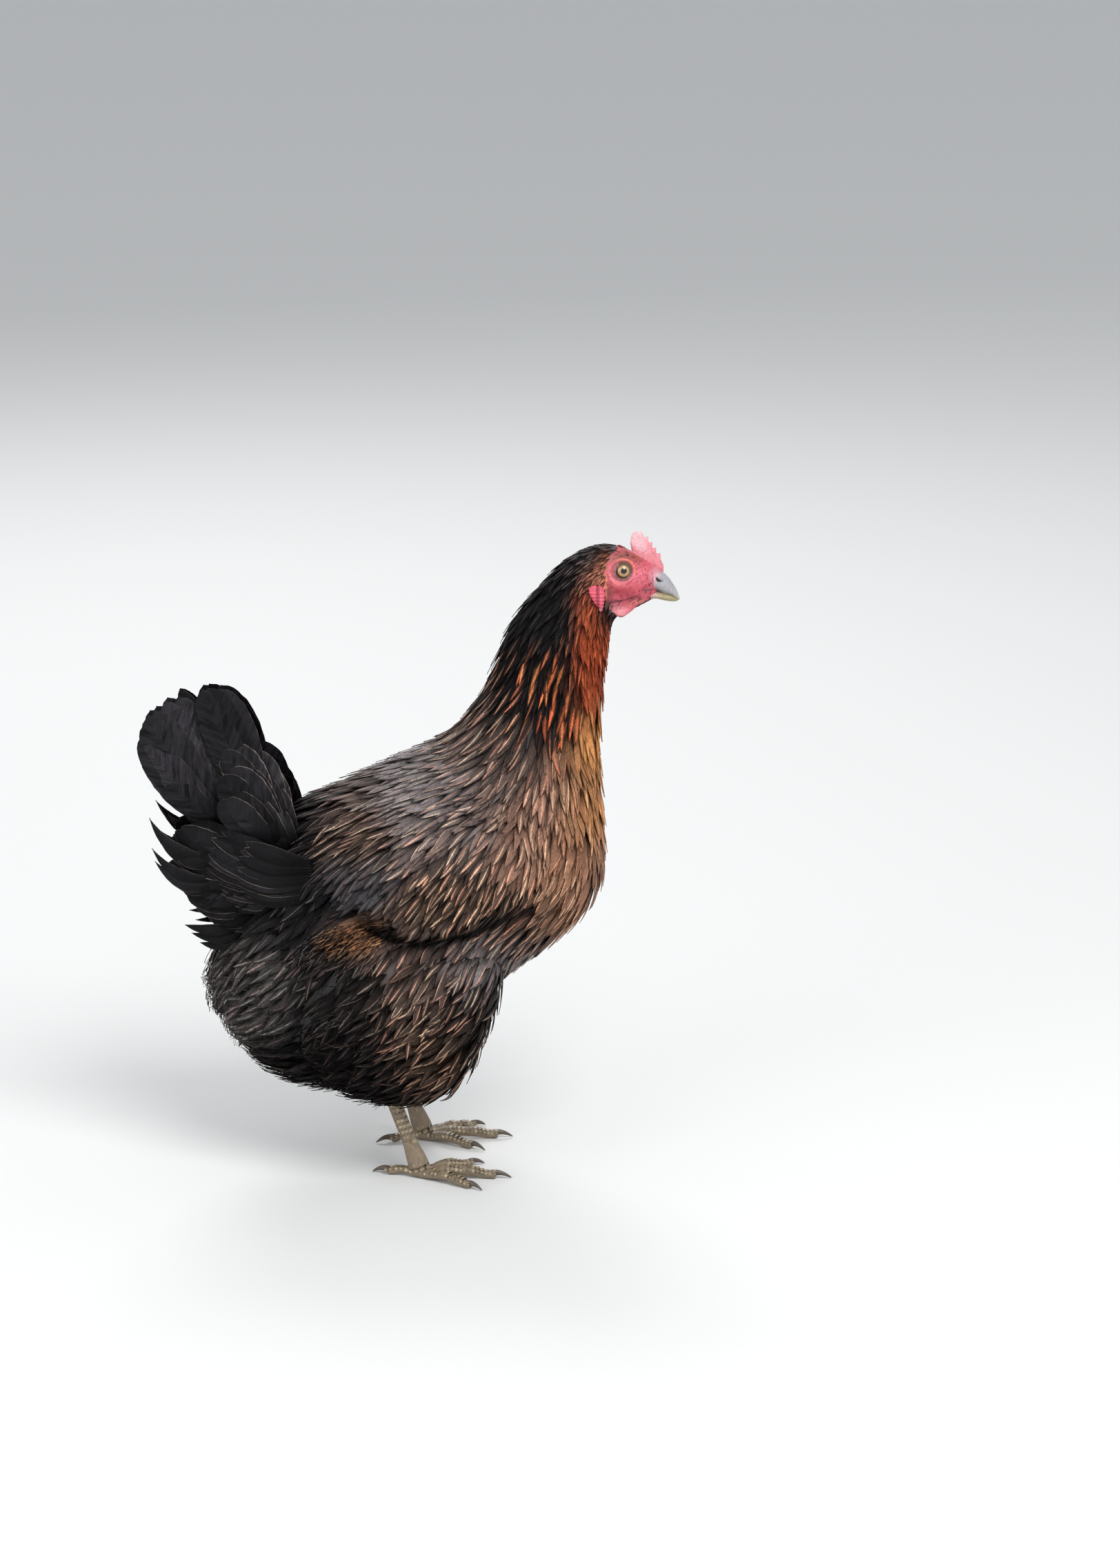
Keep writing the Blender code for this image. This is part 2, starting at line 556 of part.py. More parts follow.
def main():
    for obj in list(bpy.data.objects):
        bpy.data.objects.remove(obj)
    finishes = {
        "trunk": finish_of("laced_plumage", (0.10, 0.062, 0.038), 0.72),
        "neck": finish_of("hackle", (0.17, 0.065, 0.028), 0.60),
        "head": finish_of("face_skin", (0.50, 0.060, 0.065), 0.50),
        "wing": finish_of("wing_plumage", (0.085, 0.055, 0.038), 0.65),
        "fluff": finish_of("fluff", (0.060, 0.045, 0.036), 0.85),
        "tail": finish_of("tail_quills", (0.020, 0.018, 0.018), 0.45),
        "comb": finish_of("comb_skin", (0.62, 0.12, 0.13), 0.45),
        "horn": finish_of("horn", (0.33, 0.29, 0.25), 0.40),
        "scale": finish_of("leg_scales", (0.36, 0.31, 0.22), 0.55),
        "eye": finish_of("eye", (0.55, 0.33, 0.08), 0.08),
    }
    spine = build_spine(finishes)
    spine_grown = spine["spine_grown"]
    _, cushion_grown = build_cushion(finishes["tail"], spine_grown)
    beak_grown = build_beak(finishes, spine_grown)
    build_comb(finishes["comb"], (spine_grown, beak_grown))
    for side, word in ((-1, "right"), (1, "left")):
        _, wing_grown = build_wing(side, word, finishes["wing"], spine["rows"], spine_grown)
        _, thigh_grown = build_thigh(side, word, finishes["fluff"], (spine_grown, wing_grown))
        build_fan(side, word, finishes["tail"], (spine_grown, cushion_grown))
        build_leg(side, word, finishes, thigh_grown)
        _, socket = build_eye(side, word, finishes["eye"])
        carve(spine["head"], socket)
        for lobe, (*sizes, lean) in LOBES.items():
            build_lobe(f"{lobe}_{word}", finishes["comb"], side, *sizes, math.radians(lean), (spine_grown,))


main()
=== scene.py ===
"""Looks of a standing hen, life size: one skin, its feathers, eyes, bill, claws and leg scales.

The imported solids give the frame: +X is the way the hen faces, +Y its left, +Z up, in metres.
Feathers grow on pelts. A pelt is a grid of points over one part of the body, and a feather is
a thin closed vane laid along the pelt's skin by the lie of the coat at its root. What lies,
lengths and colours the coat has where is told by a table of named regions.
"""

import logging
import math
from dataclasses import dataclass, field
from enum import Enum
from functools import partial

import bpy
import numpy as np
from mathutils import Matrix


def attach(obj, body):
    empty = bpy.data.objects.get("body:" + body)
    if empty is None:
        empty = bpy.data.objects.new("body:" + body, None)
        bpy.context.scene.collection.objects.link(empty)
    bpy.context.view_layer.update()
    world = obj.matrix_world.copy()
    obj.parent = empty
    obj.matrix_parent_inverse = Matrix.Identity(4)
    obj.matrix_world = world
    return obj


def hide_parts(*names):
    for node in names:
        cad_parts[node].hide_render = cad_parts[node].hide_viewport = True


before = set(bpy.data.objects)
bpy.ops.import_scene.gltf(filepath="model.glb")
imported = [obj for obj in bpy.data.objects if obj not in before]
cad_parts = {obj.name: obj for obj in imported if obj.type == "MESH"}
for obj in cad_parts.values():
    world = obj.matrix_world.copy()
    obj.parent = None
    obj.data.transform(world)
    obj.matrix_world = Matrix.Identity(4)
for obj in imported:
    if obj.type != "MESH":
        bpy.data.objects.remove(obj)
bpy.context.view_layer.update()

LOG = logging.getLogger("hen")
Array = np.ndarray
MM = 0.001
UP = np.array([0.0, 0.0, 1.0])
SIDES = ((-1.0, "right"), (1.0, "left"))
# Side of the square that a feather has on the bake map.
PATCH_SIDE = 0.003
# Fineness at which the overlapping shells of body and legs are melted into one.
BODY_VOXEL = 3.2 * MM
LEG_VOXEL = 1.0 * MM


# Numbers and grids -------------


def unit(vectors: Array) -> Array:
    """The vectors of the last axis at length one."""
    return vectors / np.maximum(np.linalg.norm(vectors, axis=-1, keepdims=True), 1e-12)


def ease(value: Array, low: float, high: float) -> Array:
    """0 below low, 1 above high, and the smooth cubic 3f^2 - 2f^3 between them."""
    f = np.clip((value - low) / (high - low), 0.0, 1.0)
    return f * f * (3 - 2 * f)


def bell(value: Array, middle: float, spread: float) -> Array:
    """A hill of height one, exp(-((value - middle) / spread)^2)."""
    return np.exp(-(((value - middle) / spread) ** 2))


def round_turn(count: int) -> Array:
    """Evenly spaced angles once round, from 0."""
    return np.arange(count) * 2 * math.pi / count


def power(value: Array, exponent: Array | float) -> Array:
    """The value's size raised to the exponent, with the value's sign kept."""
    return np.sign(value) * np.abs(value) ** exponent


def catmull(rows: Array | tuple, count: int) -> Array:
    """Catmull-Rom curve through the rows of a table.

    Args:
        rows: The table, a row for each station.
        count: How many rows the curve is read at, ends included.

    Returns:
        The count rows, evenly spaced in stations.
    """
    rows = np.asarray(rows, float)
    ends = np.vstack([2 * rows[0] - rows[1], rows, 2 * rows[-1] - rows[-2]])
    at = np.linspace(0, len(rows) - 1, count)
    low = np.minimum(at.astype(int), len(rows) - 2)
    f = (at - low)[:, None]
    a, b, c, d = (ends[low + k] for k in range(4))
    return 0.5 * (2 * b + (c - a) * f + (2 * a - 5 * b + 4 * c - d) * f**2
                  + (3 * b - a - 3 * c + d) * f**3)


def lattice(points: Array, salt: float) -> Array:
    """A fixed chance from 0 to 1 for each whole-numbered point: the broken part of a large sine."""
    mixed = points @ np.array([127.1, 311.7, 74.7]) + salt
    return np.modf(np.abs(np.sin(mixed) * 43758.5453))[0]


def grain(points: Array, size: float, salt: float = 0.0) -> Array:
    """Smooth value noise from 0 to 1: the chances at the corners of a cube of the given size,
    blended by the eased place inside it."""
    place = points / size
    low = np.floor(place)
    f = place - low
    f = f * f * (3 - 2 * f)
    total = np.zeros(len(points))
    for corner in np.ndindex(2, 2, 2):
        share = np.prod(np.where(corner, f, 1 - f), axis=1)
        total += share * lattice(low + corner, salt)
    return total


def pebbles(points: Array, size: float, salt: float = 0.0) -> Array:
    """Rounded bumps from 0 to 1: one less the distance to the nearest jittered cell centre."""
    place = points / size
    low = np.floor(place)
    nearest = np.full(len(points), 9.0)
    for corner in np.ndindex(3, 3, 3):
        cell = low + corner - 1
        jitter = np.stack([lattice(cell, salt + k) for k in (1.0, 2.0, 3.0)], axis=1)
        gap = np.linalg.norm(place - cell - jitter, axis=1)
        nearest = np.minimum(nearest, gap)
    return np.clip(1 - nearest, 0, 1)


def section_grid(table: Array, around: int) -> Array:
    """Rings of a body that is alike on both sides of the mid-plane.

    A row holds the ring's upper x and z, its lower x and z, half its width w and its squareness
    q. With c and s the cosine and sine of the turn, each raised to 2 / q with its sign kept, a
    point lies the share (1 + c) / 2 of the way from lower to upper, and w s to the side.
    """
    x_up, z_up, x_low, z_low, wide, square = table.T[:, :, None]
    turn, exponent = round_turn(around), 2 / square
    up, side = power(np.cos(turn), exponent), power(np.sin(turn), exponent)
    x = (x_up + x_low) / 2 + (x_up - x_low) / 2 * up
    z = (z_up + z_low) / 2 + (z_up - z_low) / 2 * up
    return np.stack([x, wide * side, z], axis=2)


def loft_faces(rows: int, around: int) -> tuple[Array, Array]:
    """Faces of a grid that is open along its length and closed around.

    Returns:
        Quads between the rings, and the triangles of the two ends, whose poles are the two points
        that follow the grid's own.
    """
    i, j = np.meshgrid(np.arange(rows - 1), np.arange(around), indexing="ij")
    k = (j + 1) % around
    quads = np.stack([i * around + j, i * around + k, (i + 1) * around + k, (i + 1) * around + j],
                     axis=-1).reshape(-1, 4)
    j, k = j[0], k[0]
    pole, end = np.full(around, rows * around), (rows - 1) * around
    first, last = np.stack([pole, k, j], axis=1), np.stack([pole + 1, end + j, end + k], axis=1)
    return quads, np.concatenate([first, last])


def laid_over(colour: Array, *layers: tuple[Array, tuple[float, float, float]]) -> Array:
    """Colours of points with tints laid over them in turn, each by its share from 0 to 1."""
    for share, tint in layers:
        colour = colour + (np.array(tint) - colour) * np.clip(share, 0, 1)[:, None]
    return colour


def within(points: Array, outline: tuple[tuple[float, float], ...], soft: float) -> Array:
    """How far inside a closed outline the points of a plane are.

    The distance to the nearest side is signed by whether a ray from the point crosses the
    outline an odd number of times.

    Args:
        points: (n, 2).
        outline: Its corners.
        soft: Width of the border's blur.

    Returns:
        1 inside, 0 outside, and smooth across the border.
    """
    a = np.array(outline)
    b = np.roll(a, -1, axis=0)
    p = points[:, None, :]
    run = b - a
    f = np.clip(((p - a) * run).sum(-1) / (run**2).sum(-1), 0, 1)
    gap = np.linalg.norm(p - a - f[..., None] * run, axis=-1).min(axis=1)
    level = (a[:, 1] > p[..., 1]) != (b[:, 1] > p[..., 1])
    rise = np.where(np.abs(run[:, 1]) < 1e-12, 1e-12, run[:, 1])
    crossing = a[:, 0] + (p[..., 1] - a[:, 1]) / rise * run[:, 0]
    odd = (level & (p[..., 0] < crossing)).sum(axis=1) % 2 == 1
    return ease(np.where(odd, gap, -gap), -soft / 2, soft / 2)


# Colours and regions of the coat 


class Tint(Enum):
    """Colours of feather, skin and horn, as linear red, green and blue."""

    BLACK = (0.0055, 0.005, 0.0058)
    SOOT = (0.01, 0.0085, 0.008)
    UMBER = (0.05, 0.031, 0.023)
    CHARCOAL = (0.075, 0.051, 0.043)
    SMOKE = (0.165, 0.142, 0.142)
    SLATE = (0.04, 0.037, 0.041)
    PEWTER = (0.052, 0.047, 0.044)
    APRICOT = (0.88, 0.3, 0.185)
    CHESTNUT = (0.215, 0.106, 0.064)
    RUST = (0.27, 0.046, 0.016)
    RUST_RED = (0.36, 0.052, 0.024)
    ORANGE = (0.52, 0.15, 0.048)
    AMBER = (0.46, 0.19, 0.058)
    GOLD = (0.52, 0.23, 0.08)
    TAN = (0.58, 0.335, 0.215)
    FAWN = (0.52, 0.33, 0.23)
    ASH = (0.26, 0.22, 0.208)
    DUN = (0.125, 0.103, 0.093)
    COPPER = (0.6, 0.23, 0.13)
    SADDLE = (0.34, 0.17, 0.11)
    BROWN = (0.212, 0.116, 0.084)
    MAUVE = (0.135, 0.1, 0.092)
    WINE = (0.16, 0.05, 0.036)
    EMBER = (0.42, 0.085, 0.03)
    LEG_HORN = (0.21, 0.16, 0.105)
    SCUTE_HORN = (0.3, 0.235, 0.15)
    CLAW_HORN = (0.085, 0.066, 0.048)
    CRIMSON = (0.5, 0.075, 0.105)
    BLUE_HORN = (0.33, 0.315, 0.34)
    TAN_HORN = (0.3, 0.25, 0.13)
    IRIS = (0.4, 0.225, 0.085)

    def over(self, points: Array) -> Array:
        """The colour for each of the points."""
        return np.repeat([self.value], len(points), axis=0)


@dataclass(frozen=True)
class Region:
    """What the coat is like round one place, seen from the side.

    Args:
        name: The place, in plain words.
        x, z: Its middle.
        reach: How far its say goes.
        lie: Which way the tips point, in degrees down from straight back.
        long, wide: Size of a feather, in millimetres.
        ground, lace: Colours of the vane and of its edge.
        rim: Width of the edge's colour, in millimetres.
        point: 0 for a round tip to 1 for a pointed one.
        loose: 0 for a close vane to 1 for a frayed one.
        lift: How far the tip stands out, as a share of the coat's depth.
        stiff: 0 for a feather that bends with the body to 1 for a straight one.
        shaft: Share of feathers with a pale streak near the shaft and a dark edge. The others
            have pale lace on the edge.
    """

    name: str
    x: float
    z: float
    reach: float
    lie: float
    long: float
    wide: float
    ground: Tint
    lace: Tint
    rim: float
    point: float = 0.2
    loose: float = 0.15
    lift: float = 0.9
    stiff: float = 0.0
    shaft: float = 1.0


REGIONS = (
    Region("crown", 0.132, 0.452, 0.008, 12, 10, 3.6, Tint.BLACK, Tint.DUN, 0.5, 0.5),
    Region("nape", 0.11, 0.44, 0.013, 44, 19, 5.0, Tint.BLACK, Tint.DUN, 0.5, 0.7),
    Region("back of head", 0.1225, 0.4455, 0.0072, 38, 13, 4.0, Tint.BLACK, Tint.DUN, 0.5, 0.6),
    Region("upper hackle", 0.087, 0.411, 0.018, 63, 28, 6.2, Tint.BLACK, Tint.CHARCOAL, 0.5, 0.9),
    Region("side hackle", 0.103, 0.409, 0.0125, 70, 27, 6.0, Tint.BLACK, Tint.CHARCOAL, 0.5, 0.9),
    Region("hackle ends", 0.087, 0.3925, 0.0125, 70, 30, 6.2, Tint.BLACK, Tint.BLACK, 0.2, 1.0),
    Region("back of neck", 0.058, 0.343, 0.013, 60, 42, 7.0, Tint.BLACK, Tint.SADDLE, 1.1, 1.0),
    Region("middle of neck", 0.094, 0.352, 0.016, 76, 40, 6.6, Tint.BLACK, Tint.ORANGE, 3.2, 1.0),
    Region("foot of neck", 0.094, 0.32, 0.015, 80, 36, 7.2, Tint.BLACK, Tint.EMBER, 3.0, 0.9),
    Region("front of neck", 0.133, 0.352, 0.012, 88, 30, 6.2, Tint.RUST, Tint.EMBER, 1.8, 0.8,
           shaft=0.6),
    Region("throat", 0.133, 0.382, 0.01, 84, 20, 4.6, Tint.RUST, Tint.EMBER, 1.4, 0.7, shaft=0.6),
    Region("under the lobe", 0.14, 0.4, 0.0066, 75, 12, 3.0, Tint.BLACK, Tint.BLACK, 0.2, 0.8,
           0.5),
    Region("under the jaw", 0.156, 0.406, 0.005, 25, 5, 1.8, Tint.BLACK, Tint.SOOT, 0.2, 0.8, 0.5),
    Region("behind the lobe", 0.124, 0.401, 0.0075, 78, 17, 3.6, Tint.EMBER, Tint.EMBER, 1.2, 0.8,
           shaft=0.6),
    Region("ear", 0.1318, 0.433, 0.007, 45, 8, 1.9, Tint.APRICOT, Tint.GOLD, 0.9, 0.9, 0.8, 1.0),
    Region("temple", 0.1365, 0.4435, 0.0044, 40, 6, 1.9, Tint.EMBER, Tint.EMBER, 0.7, 0.9, 0.5,
           0.8),
    Region("side of head", 0.1225, 0.43, 0.0042, 56, 12, 2.8, Tint.WINE, Tint.COPPER, 0.7, 0.8),
    Region("side of throat", 0.12, 0.414, 0.0058, 70, 15, 3.2, Tint.RUST_RED, Tint.COPPER, 1.1,
           0.8),
    Region("front below neck", 0.134, 0.303, 0.014, 90, 28, 6.4, Tint.AMBER, Tint.GOLD, 1.5, 0.6,
           shaft=0.7),
    Region("breast front", 0.137, 0.262, 0.016, 92, 28, 7.6, Tint.AMBER, Tint.GOLD, 1.5, 0.5,
           shaft=0.6),
    Region("breast side", 0.108, 0.274, 0.017, 76, 27, 6.2, Tint.BROWN, Tint.TAN, 1.4, 0.6,
           shaft=0.7),
    Region("lower breast", 0.121, 0.228, 0.019, 48, 28, 7.2, Tint.CHESTNUT, Tint.TAN, 1.3, 0.5,
           shaft=0.5),
    Region("keel", 0.112, 0.186, 0.012, 26, 28, 7.4, Tint.CHESTNUT, Tint.TAN, 1.2, 0.4, 0.3,
           shaft=0.5),
    Region("under breast", 0.074, 0.186, 0.012, 22, 27, 6.8, Tint.UMBER, Tint.TAN, 1.2, 0.5, 0.3,
           shaft=0.6),
    Region("cape", 0.026, 0.318, 0.013, 40, 28, 6.0, Tint.CHARCOAL, Tint.FAWN, 1.1, 0.7),
    Region("shoulder", 0.064, 0.3, 0.015, 60, 29, 5.9, Tint.CHARCOAL, Tint.FAWN, 1.2, 0.7,
           shaft=0.75),
    Region("back", -0.015, 0.3, 0.016, 24, 28, 6.8, Tint.SMOKE, Tint.ASH, 0.9, 0.6, shaft=0.8),
    Region("saddle", -0.05, 0.279, 0.014, 34, 34, 6.8, Tint.CHARCOAL, Tint.ASH, 0.9, 0.8,
           shaft=0.7),
    Region("upper wing", 0.01, 0.29, 0.014, 40, 28, 6.1, Tint.SMOKE, Tint.FAWN, 1.0, 0.6,
           shaft=0.75),
    Region("middle of wing", 0.03, 0.264, 0.017, 50, 27, 6.0, Tint.MAUVE, Tint.FAWN, 1.2, 0.6,
           shaft=0.7),
    Region("front of wing", 0.075, 0.252, 0.015, 60, 27, 6.0, Tint.BROWN, Tint.TAN, 1.3, 0.6,
           shaft=0.75),
    Region("lower wing", 0.034, 0.222, 0.014, 54, 26, 6.1, Tint.UMBER, Tint.TAN, 1.2, 0.5, 0.2,
           shaft=0.8),
    Region("hip", -0.048, 0.254, 0.012, 46, 32, 6.4, Tint.UMBER, Tint.FAWN, 1.2, 0.8, 0.3,
           shaft=0.6),
    Region("wing end", -0.044, 0.227, 0.01, 50, 34, 10.0, Tint.SLATE, Tint.DUN, 0.7, 0.3, 0.1,
           0.8),
    Region("flank tuft", -0.038, 0.1895, 0.0066, 34, 11, 2.0, Tint.CHESTNUT, Tint.GOLD, 0.6, 0.7,
           0.9),
    Region("rear of tuft", -0.056, 0.184, 0.0058, 30, 11, 2.0, Tint.UMBER, Tint.GOLD, 0.6, 0.7,
           0.9),
    Region("front of tuft", -0.021, 0.195, 0.005, 36, 11, 2.2, Tint.UMBER, Tint.GOLD, 0.6, 0.7,
           0.9),
    Region("thigh front", 0.052, 0.156, 0.015, 62, 25, 5.8, Tint.SMOKE, Tint.FAWN, 1.0, 0.6, 0.4,
           shaft=0.8),
    Region("thigh", 0.004, 0.148, 0.018, 54, 26, 6.0, Tint.CHARCOAL, Tint.FAWN, 1.0, 0.6, 0.45,
           shaft=0.7),
    Region("drumstick", 0.008, 0.104, 0.017, 36, 26, 6.2, Tint.UMBER, Tint.TAN, 1.1, 0.6, 0.5,
           shaft=0.5),
    Region("thigh back", -0.058, 0.141, 0.017, 46, 30, 7.4, Tint.SOOT, Tint.DUN, 0.9, 0.7, 0.7,
           shaft=0.7),
    Region("rear fluff", -0.118, 0.142, 0.017, 30, 32, 6.6, Tint.PEWTER, Tint.ASH, 1.2, 0.7, 1.0,
           1.3),
    Region("back of flank", -0.086, 0.203, 0.017, 50, 34, 8.4, Tint.BLACK, Tint.DUN, 0.4, 0.7, 0.5),
    Region("vent", -0.127, 0.2, 0.015, 24, 34, 9.0, Tint.BLACK, Tint.SOOT, 0.4, 0.6, 0.8, 1.0),
    Region("under tail", -0.148, 0.236, 0.014, 6, 44, 13.0, Tint.BLACK, Tint.DUN, 0.3, 0.4, 0.4),
    Region("root of tail", -0.082, 0.262, 0.01, 30, 30, 9.0, Tint.BLACK, Tint.DUN, 0.5, 0.6, 0.5),
    Region("belly", -0.05, 0.085, 0.024, 22, 30, 7.6, Tint.BLACK, Tint.UMBER, 0.6, 0.6, 0.9),
    Region("between the legs", 0.04, 0.12, 0.02, 30, 27, 7.6, Tint.SOOT, Tint.FAWN, 0.8, 0.5,
           0.4),
)

# Lower edge of the folded wing, x and z, from its end forward. Feathers above it stop at it.
WING_FOLD = ((-0.032, 0.202), (-0.019, 0.1965), (-0.009, 0.1925), (0.003, 0.1895), (0.014, 0.1893),
             (0.026, 0.1905), (0.044, 0.194), (0.062, 0.201), (0.075, 0.208), (0.088, 0.216))
FOLD_X, FOLD_Z = np.array(WING_FOLD).T


def over_fold(points: Array) -> Array:
    """Height over the wing's lower edge."""
    return points[..., 2] - np.interp(points[..., 0], FOLD_X, FOLD_Z)


def beside_fold(points: Array) -> Array:
    """Whether a point lies above or below the wing's lower edge, not past its ends."""
    return (points[..., 0] > FOLD_X[0]) & (points[..., 0] < FOLD_X[-1])


class Plumage:
    """Reads the table of regions: every quality is the mean of the regions', each weighed by a
    bell round its middle, exp(-d^2 / (2 reach^2))."""

    def __init__(self, regions: tuple[Region, ...]) -> None:
        """Lays the table out as arrays."""
        self.middle = np.array([(r.x, r.z) for r in regions])
        self.reach = np.array([r.reach for r in regions])
        fields = ("lie", "long", "wide", "rim", "point", "loose", "lift", "stiff", "shaft")
        self.numbers = {name: np.array([getattr(r, name) for r in regions]) for name in fields}
        self.colours = {name: np.array([getattr(r, name).value for r in regions])
                        for name in ("ground", "lace")}

    def weights(self, points: Array) -> Array:
        """Each point's share in each region, summing to one."""
        gap = ((points[:, None, 0] - self.middle[:, 0]) ** 2
               + (points[:, None, 2] - self.middle[:, 1]) ** 2) / (2 * self.reach**2)
        share = np.exp(gap.min(axis=1, keepdims=True) - gap)
        return share / share.sum(axis=1, keepdims=True)

    def read(self, points: Array, *names: str) -> list[Array]:
        """The named numbers at the points."""
        share = self.weights(points)
        return [share @ self.numbers[name] for name in names]

    def tint(self, points: Array, name: str) -> Array:
        """The named colour at the points, mixed by square roots so that dark stays dark."""
        return (self.weights(points) @ np.sqrt(self.colours[name])) ** 2

    @staticmethod
    def shade(points: Array) -> Array:
        """Share of the colour left by the painted shade in the deep crease along the wing's
        lower edge, where the feathers turn under."""
        # Painted shade: darkest just below the wing's lower edge, fading upwards over the wing.
        under = over_fold(points)
        ends = ease(points[:, 0], FOLD_X[0] - 0.01, FOLD_X[0] + 0.01) \
            * (1 - ease(points[:, 0], FOLD_X[-1] - 0.02, FOLD_X[-1]))
        side = ease(np.abs(points[:, 1]), 0.03, 0.045)
        return (1 - 0.97 * side * ends * ease(under, -0.0075, -0.005)
                * (1 - ease(under, 0.0005, 0.0085)))

    def lie(self, points: Array) -> Array:
        """The way the tips point, in the plane seen from the side."""
        share = self.weights(points)
        angle = np.radians(self.numbers["lie"])
        return unit(np.stack([-(share @ np.cos(angle)), np.zeros(len(points)),
                              -(share @ np.sin(angle))], axis=1))


PLUMAGE = Plumage(REGIONS)


# Pelts -------------------------


class Pelt:
    """A surface that feathers grow on: a grid of points, open along its length, closed around.

    The outer face is where the tips of the coat lie. The skin is the outer face moved in along
    its normals by the coat's depth. Places are read off either face by bilinear blending.
    """

    # How far to the side of a point of the outer face still counts as under it.
    BESIDE = 0.012

    def __init__(self, outer: Array, depth: Array, salt: int) -> None:
        """Works out the normals, the skin and its two slopes.

        Args:
            outer: The outer face, (n, m, 3), from head to tail and once around.
            depth: The coat's depth, (n, m).
            salt: Seed of this pelt's own chances.
        """
        self.rows, self.around = outer.shape[:2]
        self.random = np.random.default_rng(salt)
        self.outer = outer
        self.normal = self.normals_of(outer)
        self.depth = depth
        self.skin = outer - self.normal * depth[:, :, None]
        self.along, self.across = self.slopes_of(self.skin)

    @staticmethod
    def slopes_of(grid: Array) -> tuple[Array, Array]:
        """Change of a grid from row to row, and from column to column."""
        return np.gradient(grid, axis=0), (np.roll(grid, -1, 1) - np.roll(grid, 1, 1)) / 2

    def normals_of(self, grid: Array) -> Array:
        """Unit normals pointing away from each ring's middle."""
        along, across = self.slopes_of(grid)
        normal = unit(np.cross(along, across))
        away = grid - grid.mean(axis=1, keepdims=True)
        return normal * np.sign((normal * away).sum())

    def read(self, grid: Array, s: Array, t: Array) -> Array:
        """The grid's values at rows s and columns t, blended from the four nearest points."""
        i = np.clip(np.floor(s).astype(int), 0, self.rows - 2)
        f = np.clip(s - i, 0, 1)[:, None]
        j = np.floor(t).astype(int) % self.around
        k = (j + 1) % self.around
        g = (t - np.floor(t))[:, None]
        low = grid[i, j] * (1 - g) + grid[i, k] * g
        high = grid[i + 1, j] * (1 - g) + grid[i + 1, k] * g
        return low * (1 - f) + high * f

    def inside(self, points: Array, margin: float) -> Array:
        """Which points lie more than the margin under the outer face, by the nearest point of a
        coarse copy of it. A point off to the side of that nearest point's normal isn't under it."""
        coarse = self.outer[::3, ::3].reshape(-1, 3)
        normal = self.normal[::3, ::3].reshape(-1, 3)
        gap = ((points[:, None, :] - coarse) ** 2).sum(axis=2)
        near = gap.argmin(axis=1)
        under = ((coarse[near] - points) * normal[near]).sum(axis=1)
        return (under > margin) & (gap.min(axis=1) - under**2 < self.BESIDE**2)

    def unwrap(self, s: Array, t: Array) -> Array:
        """Places of rows s and columns t on the unwrap of the skin's own shape."""
        return np.stack([s / self.rows, t % self.around / self.around], axis=1) * 0.98 + 0.01

    def scatter(self, spacing: Array) -> tuple[Array, Array]:
        """Roots spread over the skin, about one for each square of the spacing.

        Cells are drawn with a chance that is their area over the spacing's square. Of the roots
        that then share a cube of the spacing's side, in three shifted lattices, one is kept.

        Args:
            spacing: Wanted distance between roots on the grid, (n, m).

        Returns:
            Row and column of each root.
        """
        area = np.linalg.norm(np.cross(self.along, self.across), axis=2)
        want = (area / spacing**2).ravel()
        count = int(want.sum() * 5)
        cell = self.random.choice(want.size, count, p=want / want.sum())
        s = cell // self.around + self.random.random(count) - 0.5
        t = cell % self.around + self.random.random(count) - 0.5
        s = np.clip(s, 0, self.rows - 1.001)
        for shift in (0.0, 0.37, 0.71):
            where = self.read(self.skin, s, t)
            side = self.read(spacing[:, :, None], s, t)[:, 0]
            grade = np.round(np.log(side) / np.log(1.12))
            cube = np.floor(where / (1.12**grade * 0.98)[:, None] + shift).astype(int)
            key = np.column_stack([cube, grade.astype(int)])
            _, kept = np.unique(key, axis=0, return_index=True)
            kept = np.sort(kept)
            s, t = s[kept], t[kept]
        return s, t

    def trace(self, s: Array, t: Array, long: Array, turn: Array, steps: int) -> tuple[Array, ...]:
        """Lines laid over the skin from their roots along the lie of the coat.

        At each step the lie is turned a little about the normal and split into the surface's two
        slopes by least squares, which keeps the line on the surface.

        Args:
            s, t: Roots.
            long: Length of each line.
            turn: Each line's own turn from the lie, in radians.
            steps: How many steps a line takes.

        Returns:
            Points and normals, (n, steps + 1, 3), and the coat's depth, (n, steps + 1).
        """
        points, normals, depths = [], [], []
        for step in range(steps + 1):
            here, normal = self.read(self.skin, s, t), unit(self.read(self.normal, s, t))
            points.append(here)
            normals.append(normal)
            depths.append(self.read(self.depth[:, :, None], s, t)[:, 0])
            if step == steps:
                break
            way = PLUMAGE.lie(here)
            way = unit(way - normal * (way * normal).sum(axis=1, keepdims=True))
            side = np.cross(normal, way)
            way = way * np.cos(turn)[:, None] + side * np.sin(turn)[:, None]
            a, b = self.read(self.along, s, t), self.read(self.across, s, t)
            aa, ab, bb = (a * a).sum(1), (a * b).sum(1), (b * b).sum(1)
            aw, bw = (a * way).sum(1), (b * way).sum(1)
            det = np.maximum(aa * bb - ab * ab, 1e-16)
            ds, dt = (aw * bb - bw * ab) / det, (bw * aa - aw * ab) / det
            pace = np.linalg.norm(a * ds[:, None] + b * dt[:, None], axis=1)
            pace = (long / steps) / np.maximum(pace, 1e-9)
            s, t = s + ds * pace, t + dt * pace
        return np.stack(points, 1), np.stack(normals, 1), np.stack(depths, 1)


# Vanes -------------------------


